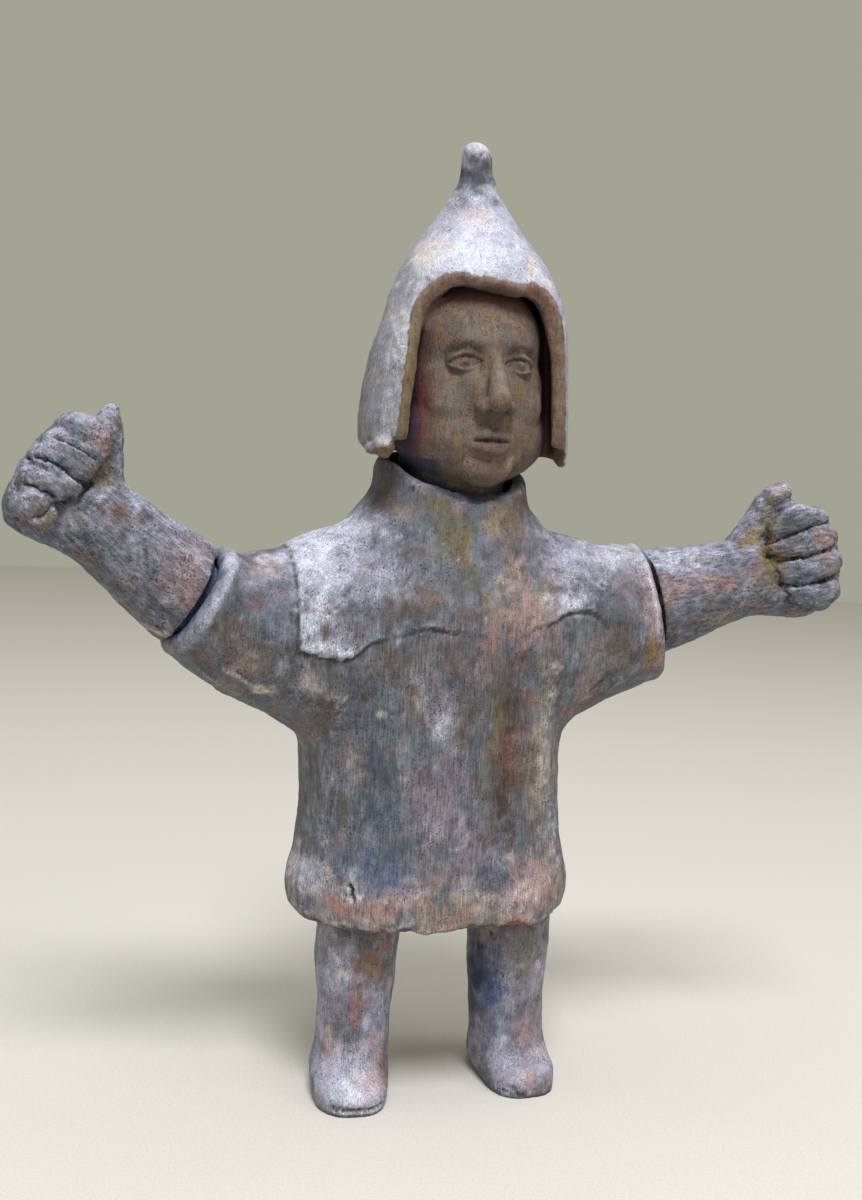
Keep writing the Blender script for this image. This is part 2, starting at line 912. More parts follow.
def plug_rings(arm: Arm, size: tuple[float, float], margin: float, stops: Sequence[float]) -> list[Ring]:
    """Draw the plug of a forearm, or the mouth that takes it.

    Args:
        arm: The arm whose seat it is.
        size: Half height and half depth of the arm's end, in U.
        margin: How much larger than the plug, in U.
        stops: Distances along the arm, in U, of its rings.

    Returns:
        The rings.
    """
    along, front, up = arm.frame()
    tall = (size[0] - SLEEVE_LIP + margin) * U
    deep = (size[1] - SLEEVE_LIP + margin) * U
    return [oval(arm.seat + along * (at * U), front, up, deep, tall, tall, 2.0) for at in stops]


def finish_piece(clay: Clay, node: str, finish: bpy.types.Material) -> bpy.types.Object:
    """Dress a piece, put it in its place in the model and tie it to the node that it stands for.

    Args:
        clay: The painted skin.
        node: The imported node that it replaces.
        finish: Its material.

    Returns:
        The piece.
    """
    piece = clay.obj
    piece.name = clay.name
    piece.data.name = clay.name
    piece.data.materials.clear()
    piece.data.materials.append(finish)
    piece.data.transform(Matrix.Translation(AXIS))
    piece.data.shade_smooth()
    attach(piece, "root")
    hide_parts(node)
    faces = len(piece.data.polygons)
    LOG.info("%s: %d faces, box %s", piece.name, faces, [round(size, 4) for size in piece.dimensions])
    return piece


@dataclass
class RobeBody:
    """The robed body with its cape, sleeves, collar, legs and boots; lengths are in U."""

    seed: int = 11
    rough_voxel: float = 1.7
    voxel: float = 1.23
    hem_wall: float = 6.5
    hem_recess: float = 9.0
    collar_wall: float = 6.2
    collar_rim: float = 268.0
    collar_depth: float = 20.0
    collar_front_dip: float = 15.0
    collar_back_rise: float = 5.0
    collar_side_fall: float = -0.07
    collar_foot: float = 236.0
    power: float = 2.3
    # Height, half width, front depth, back depth, centre x, centre y.
    robe: tuple[Row, ...] = (
        (78.6, 58.4, 40.6, 38.0, -0.8, 0.0),
        (80.6, 60.6, 42.4, 39.6, -0.8, 0.0),
        (86.0, 62.0, 43.4, 40.6, -0.8, 0.0),
        (94.0, 61.6, 43.2, 40.4, -0.9, 0.0),
        (106.0, 58.6, 41.8, 39.2, -1.0, 0.0),
        (125.0, 56.6, 40.4, 37.6, -1.4, 0.0),
        (146.0, 57.0, 39.8, 36.4, -2.2, 0.0),
        (170.0, 57.6, 39.6, 35.4, -2.2, 0.0),
        (190.0, 57.0, 39.0, 34.8, -2.0, 0.0),
        (210.0, 56.0, 37.4, 34.2, -1.6, -0.6),
        (225.0, 53.0, 34.8, 32.8, -1.4, -1.4),
        (236.0, 47.6, 32.0, 30.8, -1.2, -2.6),
        (244.0, 41.2, 29.8, 28.8, -1.0, -4.0),
        (251.0, 35.2, 28.2, 27.2, -0.8, -5.2),
        (258.0, 32.4, 27.4, 26.4, -0.6, -6.0),
        (264.0, 31.8, 27.2, 26.0, COLLAR_X, COLLAR_Y),
    )
    # Centre x, y, z, half height, half depth, rise and forward turn in degrees.
    right_sleeve: tuple[Row, ...] = (
        (-30.0, -1.5, 197.0, 43.0, 35.5, 0.0, 0.0),
        (-48.0, -2.0, 196.0, 43.0, 34.5, 0.0, 0.0),
        (-60.0, -3.0, 195.0, 41.4, 32.2, 0.0, 2.0),
        (-75.0, -5.0, 198.0, 33.4, 29.4, 5.0, 4.0),
        (-89.0, -7.0, 201.5, 28.8, 27.0, 12.0, 6.0),
        (-101.0, -9.0, 206.5, 24.8, 25.2, 23.0, 7.0),
    )
    left_sleeve: tuple[Row, ...] = (
        (30.0, -1.5, 196.0, 44.0, 35.5, 0.0, 0.0),
        (46.0, -2.5, 196.0, 43.5, 34.0, 0.0, 2.0),
        (56.0, -4.0, 197.5, 41.0, 32.0, 0.0, 5.0),
        (66.0, -6.0, 200.0, 36.6, 30.2, 1.0, 8.0),
        (76.0, -8.5, 203.0, 33.4, 28.8, 4.0, 11.0),
        (85.5, -11.0, 205.5, 31.2, 27.6, 8.0, 13.0),
    )
    # Drop below the seat, half height, half depth.
    right_end: Point = (0.0, 22.2, 23.8)
    left_end: Point = (3.8, 29.4, 26.6)
    # Centre x, y, z, half width, half depth.
    right_leg: tuple[Row, ...] = (
        (-31.0, -3.0, 98.0, 18.4, 18.0),
        (-33.0, -5.0, 66.0, 17.6, 17.4),
        (-33.5, -6.0, 42.0, 16.4, 16.8),
        (-33.5, -5.0, 24.0, 16.2, 18.0),
        (-33.5, -3.0, 8.0, 16.0, 18.0),
    )
    left_leg: tuple[Row, ...] = (
        (36.0, -3.0, 98.0, 18.6, 18.0),
        (36.6, -5.0, 66.0, 18.0, 17.6),
        (36.0, -6.0, 42.0, 17.2, 17.0),
        (37.0, -6.0, 24.0, 16.8, 18.0),
        (38.0, -4.0, 8.0, 16.4, 18.0),
    )
    # Distance from the heel, half width, height.
    boot: tuple[Point, ...] = (
        (0.0, 7.6, 17.0),
        (3.0, 11.2, 22.0),
        (10.0, 14.6, 26.0),
        (22.0, 16.2, 26.5),
        (32.0, 16.4, 21.0),
        (40.0, 15.0, 15.0),
        (46.0, 11.8, 9.8),
        (49.5, 6.6, 6.0),
    )
    right_heel: Point = (-31.5, 17.5, 9.0)
    left_heel: Point = (38.5, 16.0, 0.0)
    # Lower edge of the cape across the front: x and z.
    cape_edge: tuple[tuple[float, float], ...] = (
        (-70.0, 193.0), (-66.8, 191.6), (-57.9, 190.4), (-49.6, 189.6), (-45.0, 193.6), (-40.8, 196.3),
        (-30.5, 199.2), (-18.5, 202.2), (-10.1, 201.2), (5.5, 197.3), (19.9, 195.5), (29.3, 201.5),
        (37.2, 205.3), (43.2, 208.3), (52.6, 209.4), (58.0, 207.0), (64.0, 200.0),
    )
    # Along x: how thick the cape is at its edge, and how softly the edge runs out.
    cape_step: tuple[Point, ...] = (
        (-70.0, 1.7, 1.2), (-50.0, 1.8, 1.2), (-43.0, 0.9, 1.8), (-20.0, 0.9, 1.8), (-11.0, 1.1, 1.2),
        (-3.0, 0.7, 2.6), (4.0, 0.4, 4.0), (20.0, 0.4, 4.0), (30.0, 0.9, 2.4), (38.0, 1.5, 1.3),
        (55.0, 1.5, 1.3), (64.0, 0.6, 4.0),
    )
    # Ends of the cape: at the right arm, at the left arm, at the neck and across the back.
    cape_right: float = -70.4
    cape_left: float = 66.0
    cape_top: float = 254.0
    cape_back: float = 197.0
    marks: tuple[Mark, ...] = (
        # Crack and holes around the collar.
        Mark(((-38.0, -12.0, 253.0), (-36.0, -19.0, 249.0), (-34.5, -23.5, 245.3)), 0.9, -1.6, Edge.SHARP),
        *spots((-27.7, -31.9, 237.6, 0.9, -1.3), (-23.2, -33.4, 237.4, 0.8, -1.1),
               (3.2, -35.7, 238.6, 0.9, -1.3), (-24.1, -26.4, 256.9, 0.9, -1.2),
               (16.4, -34.6, 236.8, 0.7, -0.9)),
        # Crumbling side and chipped corner of the cape.
        Mark(((-71.5, -16.0, 230.0), (-71.0, -29.4, 218.8)), 0.6, -0.6, Edge.SHARP),
        *spots((-72.2, -31.5, 213.0, 1.5, 0.8), (-71.6, -33.0, 208.0, 1.3, 0.7),
               (-73.4, -32.0, 210.0, 0.8, -1.0), (-72.6, -33.5, 204.0, 0.8, -0.9)),
        Mark(((-65.0, -36.0, 193.5), (-56.0, -36.0, 192.0), (-50.0, -36.4, 190.6)), 2.2, 0.9, ragged=1.0),
        *spots((-60.0, -36.0, 190.6, 1.3, 0.8), (-54.0, -36.0, 189.6, 1.1, 0.7),
               (-50.4, -36.0, 188.6, 1.0, 0.6)),
        Mark(((-17.0, -40.0, 202.8), (-12.4, -40.4, 202.4)), 1.4, 0.8, ragged=0.8),
        Mark(((-15.5, -39.8, 200.2), (-11.5, -39.8, 200.4)), 0.6, -0.7),
        # Ring-shaped pit on the left sleeve.
        Mark(((59.4, -34.0, 220.6),), 2.2, 0.75, Edge.RING, 0.2),
        # Long hollows and ridges that run down the robe.
        Mark(((38.0, 0.0, 186.0), (35.5, 0.0, 160.0), (38.0, 0.0, 139.0), (42.0, 0.0, 118.0),
              (45.0, 0.0, 100.0)), 4.6, 2.3, through=FRONT),
        Mark(((23.0, 0.0, 188.0), (20.0, 0.0, 162.0), (17.5, 0.0, 134.0), (18.0, 0.0, 112.0)), 6.0, -2.2,
             through=FRONT),
        Mark(((4.0, 0.0, 178.0), (0.0, 0.0, 146.0), (-2.0, 0.0, 114.0)), 8.0, 1.0, through=FRONT),
        Mark(((9.0, 0.0, 112.0), (8.0, 0.0, 92.0)), 5.0, -1.5, through=FRONT),
        Mark(((-51.0, 0.0, 174.0), (-53.0, 0.0, 142.0), (-54.0, 0.0, 112.0)), 3.4, 1.3, through=FRONT),
        Mark(((-42.0, 0.0, 172.0), (-42.0, 0.0, 142.0), (-44.0, 0.0, 116.0)), 3.6, -1.2, through=FRONT),
        Mark(((-31.0, 0.0, 174.0), (-30.0, 0.0, 142.0), (-29.0, 0.0, 116.0)), 3.6, 0.8, through=FRONT),
        Mark(((-19.0, 0.0, 172.0), (-18.0, 0.0, 142.0), (-19.0, 0.0, 108.0)), 4.4, -0.9, through=FRONT),
        Mark(((36.0, -36.0, 92.0),), 12.5, 1.7, ragged=0.1),
        Mark(((-60.0, -10.0, 92.0),), 9.0, 1.3, ragged=0.2),
        Mark(((-31.0, -37.0, 88.0),), 12.0, 0.8, ragged=0.3),
        # Folds that run from the sleeves down to the armpits.
        Mark(((-104.0, -22.0, 182.0), (-88.0, -20.0, 171.0), (-72.0, -17.0, 161.0), (-60.0, -20.0, 150.0)),
             2.0, 1.4),
        Mark(((-103.0, -17.0, 178.5), (-88.0, -15.0, 168.0), (-72.0, -11.0, 158.5)), 1.1, -1.3),
        Mark(((-98.0, -28.0, 185.0), (-82.0, -27.0, 176.0), (-68.0, -26.0, 164.0)), 1.6, 0.9),
        Mark(((-93.0, -28.5, 184.0), (-78.0, -26.6, 172.0), (-66.0, -27.0, 160.0)), 1.0, -1.0),
        Mark(((-96.0, -8.0, 174.0), (-80.0, -4.0, 164.0), (-66.0, -4.0, 152.0)), 2.6, 0.8),
        Mark(((72.0, -30.0, 180.0), (60.0, -27.0, 166.0), (53.0, -24.0, 148.0)), 2.2, 1.2),
        Mark(((66.0, -31.0, 184.0), (56.0, -31.0, 170.0), (50.0, -29.0, 152.0)), 1.6, -1.1),
        # Peeled flake under the right sleeve.
        Mark(((-89.1, -27.6, 180.9), (-83.0, -26.4, 176.4), (-77.4, -24.2, 172.1)), 1.8, -0.5, Edge.SHARP,
             0.8),
        # Slit and chips low on the right.
        Mark(((-45.4, 0.0, 98.0), (-44.4, 0.0, 96.0), (-44.8, 0.0, 94.0), (-43.8, 0.0, 92.2)), 0.75, -2.0,
             Edge.ROUND, 1.2, FRONT),
        Mark(((-46.6, -31.2, 94.0),), 0.7, -0.9),
        Mark(((-42.6, -34.4, 93.4), (-42.2, -34.8, 91.4)), 0.9, 0.8),
        # Folds over the boots and pits at the ankle.
        Mark(((25.0, -20.5, 49.0), (33.0, -23.5, 53.0), (44.3, -21.0, 60.6), (50.0, -14.0, 62.0)), 2.6, 0.6),
        Mark(((27.0, -21.5, 44.5), (35.0, -23.5, 48.5), (45.0, -20.0, 55.5)), 2.4, -0.5),
        Mark(((-38.5, -23.0, 30.5), (-33.0, -23.6, 29.4)), 0.9, -0.7, ragged=0.9),
        Mark(((-38.0, -24.0, 27.6), (-31.0, -25.0, 27.0)), 1.5, 0.5, ragged=0.9),
        Mark(((-46.7, -16.5, 66.0), (-43.2, -19.6, 57.0), (-41.8, -20.6, 52.6)), 1.1, 0.8, ragged=0.9),
        Mark(((35.0, -24.6, 25.6),), 0.9, -0.9),
        Mark(((-48.0, 0.0, 3.6), (-42.0, 0.0, 3.0), (-33.0, 0.0, 2.9), (-27.0, 0.0, 3.4)), 0.8, -0.9,
             Edge.ROUND, 1.2, FRONT),
        Mark(((26.0, 0.0, 2.8), (30.0, 0.0, 2.2), (36.0, 0.0, 2.2)), 0.8, -0.8, Edge.ROUND, 1.2, FRONT),
        Mark(((46.0, -31.4, 8.2),), 0.8, 0.7),
        # Lumps and breaks along the hem.
        Mark(((-21.0, -41.4, 79.0), (-6.0, -42.6, 79.4)), 2.0, 0.7, ragged=0.8),
        Mark(((-40.0, -35.5, 79.0), (-30.0, -39.0, 78.6)), 2.4, 0.8, ragged=0.8),
        Mark(((30.0, -38.0, 79.2), (44.0, -31.0, 80.0)), 2.6, 0.9, ragged=0.8),
        Mark(((22.6, -17.2, 68.0), (23.6, -19.0, 65.6)), 1.1, -1.2, ragged=0.6),
        Mark(((-62.0, -6.0, 86.0), (-60.0, -18.0, 84.0)), 2.0, 0.6, ragged=1.0),
        # Broken edge under the left sleeve's end.
        Mark(((83.0, -27.0, 181.4), (87.0, -24.0, 180.8)), 1.2, -1.4, ragged=0.8),
        Mark(((80.0, -26.0, 181.0),), 1.4, 0.8),
    )

    def robe_ring(self, row: Row, fall: float = 0.0) -> Ring:
        """Draw one ring of the robe or the collar.

        Args:
            row: Height, half width, front depth, back depth, centre x and centre y.
            fall: How far it shares the dip and the slant of the collar's rim, from 0 to 1.

        Returns:
            The ring.
        """
        _, _, front, back, x, y = row
        ring = level_oval(row, self.power)
        middle = Vector((x, y, 0.0)) * U
        for point in ring:
            point.z += fall * self.collar_side_fall * (point.x - middle.x)
            ahead = (middle.y - point.y) / (max(front, back) * U)
            bend = self.collar_front_dip if ahead > 0.0 else -self.collar_back_rise
            point.z -= fall * bend * U * ahead * ahead
        return ring

    def robe_rings(self) -> list[Ring]:
        """Draw the robe.

        Returns:
            The rings: out of the recess under the hem, up the outside, over the collar's rim.
        """
        rows = smooth_rows(self.robe)
        hem, top, foot, rim = rows[0], rows[-1], rows[0][0], self.collar_rim
        rings = [self.robe_ring(inset(hem, foot + self.hem_recess, self.hem_wall + 2.0)),
                 self.robe_ring(inset(hem, foot + 1.2, self.hem_wall)),
                 self.robe_ring(inset(hem, foot - 0.4, self.hem_wall * 0.6))]
        low = self.collar_foot
        rings += [self.robe_ring(row, max(0.0, (row[0] - low) / (rim - low))) for row in rows]
        rings.append(self.robe_ring(inset(top, rim - 1.4, 0.4), 1.0))
        rings.append(self.robe_ring(inset(top, rim, self.collar_wall * 0.34), 1.0))
        return rings

    def collar_hollow(self) -> list[Ring]:
        """Draw the hollow in the collar, which takes the neck.

        Returns:
            The rings of the hollow, from its floor up.
        """
        wall = self.collar_wall
        rings = []
        for z in (self.collar_rim - self.collar_depth, self.collar_rim - 6.0,
                  self.collar_rim + self.collar_front_dip):
            rings.append(level_oval(inset(self.robe[-1], z, wall), self.power))
            wall -= 0.4
        return rings

    def sleeve_rings(self, stations: Sequence[Row], end: Point, arm: Arm) -> list[Ring]:
        """Draw a sleeve.

        Args:
            stations: Its rows from inside the chest outward.
            end: How far its end drops below the arm's seat, and its half height and depth.
            arm: The arm that sits in it.

        Returns:
            The rings, up to its rounded end.
        """
        drop, tall, deep = end
        along, front, up = arm.frame()
        place = Vector(arm.place) - up * drop
        rows = [*stations, (*place, tall, deep, arm.end_rise, arm.end_forward)]
        rings = []
        for x, y, z, high, wide, rise, forward in smooth_rows(rows)[:-1]:
            _, ahead, upward = turned(rise, forward, arm.side)
            rings.append(oval(Vector((x, y, z)) * U, ahead, upward, wide * U, high * U, high * U, 2.2))
        for back, inset in ((1.6, 0.0), (0.4, 1.2), (0.0, 2.6)):
            rings.append(oval((place - along * back) * U, front, up, (deep - inset) * U,
                              (tall - inset) * U, (tall - inset) * U, 2.2))
        return rings

    def add_leg(self, clay: Clay, leg: Sequence[Row], heel: Point, side: int) -> None:
        """Add a leg and its boot.

        Args:
            clay: The body.
            leg: Rows of the leg, from under the robe to the ankle.
            heel: Place of the heel, and how far the toe turns out in degrees.
            side: -1 for the right leg, 1 for the left.
        """
        clay.loft([level_oval((z, wide, deep, deep, x, y), 2.1)
                   for x, y, z, wide, deep in smooth_rows(leg)])
        turn = math.radians(heel[2])
        ahead = Vector((side * math.sin(turn), -math.cos(turn), 0.0))
        across = Vector((math.cos(turn), side * math.sin(turn), 0.0))
        rings = []
        for at, wide, tall in smooth_rows(self.boot):
            centre = (Vector((heel[0], heel[1], (tall - 5.0) / 2.0)) + ahead * at) * U
            half = (tall + 5.0) / 2.0 * U
            rings.append(oval(centre, across, Z_AXIS, wide * U, half, half, 2.4))
        clay.loft(rings)

    def seat_weight(self, points: Array) -> Array:
        """Find how much each point may be smoothed.

        Args:
            points: Points in U.

        Returns:
            Full weight where forms meet, little at the seats of the head and the arms.
        """
        weight = np.ones(len(points))
        collar = (COLLAR_X, COLLAR_Y, self.collar_rim)
        for centre, reach in ((RIGHT_ARM.place, 30.0), (LEFT_ARM.place, 32.0), (collar, 36.0)):
            gap = np.linalg.norm(points - np.array(centre), axis=1)
            weight = np.minimum(weight, np.clip((gap - reach * 0.7) / (reach * 0.5), 0.12, 1.0))
        return weight

    def cape(self, points: Array, grain: Grain) -> tuple[Array, Array, Array]:
        """Work out the short cape over the shoulders.

        Args:
            points: Points in U.
            grain: Noise that wears its edge.

        Returns:
            How far each point lies under it, how thick it is there, and how deep its edge cuts in.
        """
        x, y, z = points.T
        front = y < 0.0
        wave = grain.lumps(points, 6.0, 3, 5.0)
        fine = grain.lumps(points, 2.2, 2, 6.0)
        edge_x, edge_z = np.array(self.cape_edge).T
        lower = np.where(front, np.interp(x, edge_x, edge_z), self.cape_back + 0.002 * x * x)
        lower = lower + 0.7 * wave + 0.4 * fine
        at, thick, soft = np.array(self.cape_step).T
        high = np.where(front, np.interp(x, at, thick), 0.9)
        soft = np.where(front, np.interp(x, at, soft), 3.5)
        high = high * (1.0 - 0.35 * fade(z, 200.0, 212.0) * fade(-x, 52.0, 62.0))
        side = (x - self.cape_right + 0.22 * wave + 0.1 * fine) / 1.2
        inside = np.minimum((z - lower) / soft, side)
        inside = np.minimum(inside, (self.cape_left - x) / 5.0)
        inside = np.minimum(inside, (self.cape_top - z) / 12.0)
        below = np.exp(-(((z - lower) + 0.7) / 0.65) ** 2) * (x > -69.0) * (x < 62.0) * front
        cut = 0.4 * below * (soft < 2.0) * (1.0 + 0.8 * wave)
        return fade(inside, 0.0, 1.0), high * (1.0 + 0.2 * wave + 0.2 * fine), cut

    def raise_cape(self, clay: Clay, grain: Grain) -> None:
        """Lift the cape and leave a worn step along its edge.

        Args:
            clay: The body.
            grain: Noise that wears the edge.
        """
        share, high, cut = self.cape(clay.points, grain)
        clay.push(share * high)
        clay.push(-cut)

    def roll_lips(self, clay: Clay, grain: Grain) -> None:
        """Work a rolled lip around the end of each sleeve.

        Args:
            clay: The body.
            grain: Noise that dents it.
        """
        points = clay.points
        wave = 1.0 + 0.35 * grain.lumps(points, 9.0, 2, 8.0)
        for arm, band, high, valley in ((RIGHT_ARM, 3.4, 1.1, 1.1), (LEFT_ARM, 2.6, 0.8, 0.4)):
            along = np.array(arm.frame()[0])
            apart = points - np.array(arm.place)
            at = apart @ along
            far = np.linalg.norm(apart - at[:, None] * along, axis=1)
            near = fade(far, 17.5, 20.5) * (far < 42.0)
            near *= 0.3 + 0.7 * fade(apart @ np.array(arm.frame()[2]), -21.0, -6.0)
            lip = np.exp(-((at + band) / (0.7 * band)) ** 2) * high
            dip = np.exp(-((at + band * 2.7) / (0.9 * band)) ** 2) * valley
            clay.push((lip - dip) * near * wave)

    def build(self) -> Clay:
        """Put the body together and work its skin over.

        Returns:
            The finished skin.
        """
        clay = Clay("robe_body_clay")
        grain = Grain(self.seed)
        clay.loft(self.robe_rings())
        clay.loft(self.sleeve_rings(self.right_sleeve, self.right_end, RIGHT_ARM))
        clay.loft(self.sleeve_rings(self.left_sleeve, self.left_end, LEFT_ARM))
        self.add_leg(clay, self.right_leg, self.right_heel, -1)
        self.add_leg(clay, self.left_leg, self.left_heel, 1)
        clay.ball((-14.6, -40.4, 79.6), (3.4, 1.9, 3.0))
        clay.ball((-9.6, -40.8, 80.4), (3.0, 1.6, 2.2))
        clay.fuse(self.rough_voxel * U)
        clay.cut(self.collar_hollow())
        for arm, plug in ((RIGHT_ARM, PLUG_RIGHT), (LEFT_ARM, PLUG_LEFT)):
            clay.cut(plug_rings(arm, plug, FOREARM_CLEARANCE, (-MOUTH_DEPTH, SLEEVE_LIP)))
        clay.reopen()
        clay.fuse(self.voxel * U)
        clay.soften(12, self.seat_weight(clay.points))
        x, _, z = clay.points.T
        across = np.clip(1.0 - np.abs(np.abs(x) - 55.0) / 26.0, 0.0, 1.0)
        upward = np.clip(1.0 - np.abs(z - 195.0) / 62.0, 0.0, 1.0)
        clay.soften(70, np.clip(2.0 * across, 0.0, 1.0) * np.clip(3.0 * upward, 0.0, 1.0))
        clay.soften(110, fade(z, 9.0, 18.0) * fade(-z, -52.0, -40.0))
        self.raise_cape(clay, grain)
        self.roll_lips(clay, grain)
        clay.tool(self.marks, grain)
        points = clay.points
        rough = grain.layers(points, (0.34, 14.0, 2, 1.0), (0.24, 5.5, 3, 2.0),
                             (0.12, (2.4, 2.4, 12.0), 2, 3.0))
        hem = fade(-np.abs(points[:, 2] - 79.0), -4.0, -1.0)
        rough += 0.6 * hem * grain.lumps(points, 6.0, 3, 4.0)
        clay.push(rough)
        clay.shave(Vector((0.0, 0.0, 0.0)), -Z_AXIS)
        return clay


def patches(pigment: Pigment, *rows: Row) -> Stain:
    """Patches of one colour: rows of x, y, z, reach along them and strength."""
    return Stain(pigment, rows)


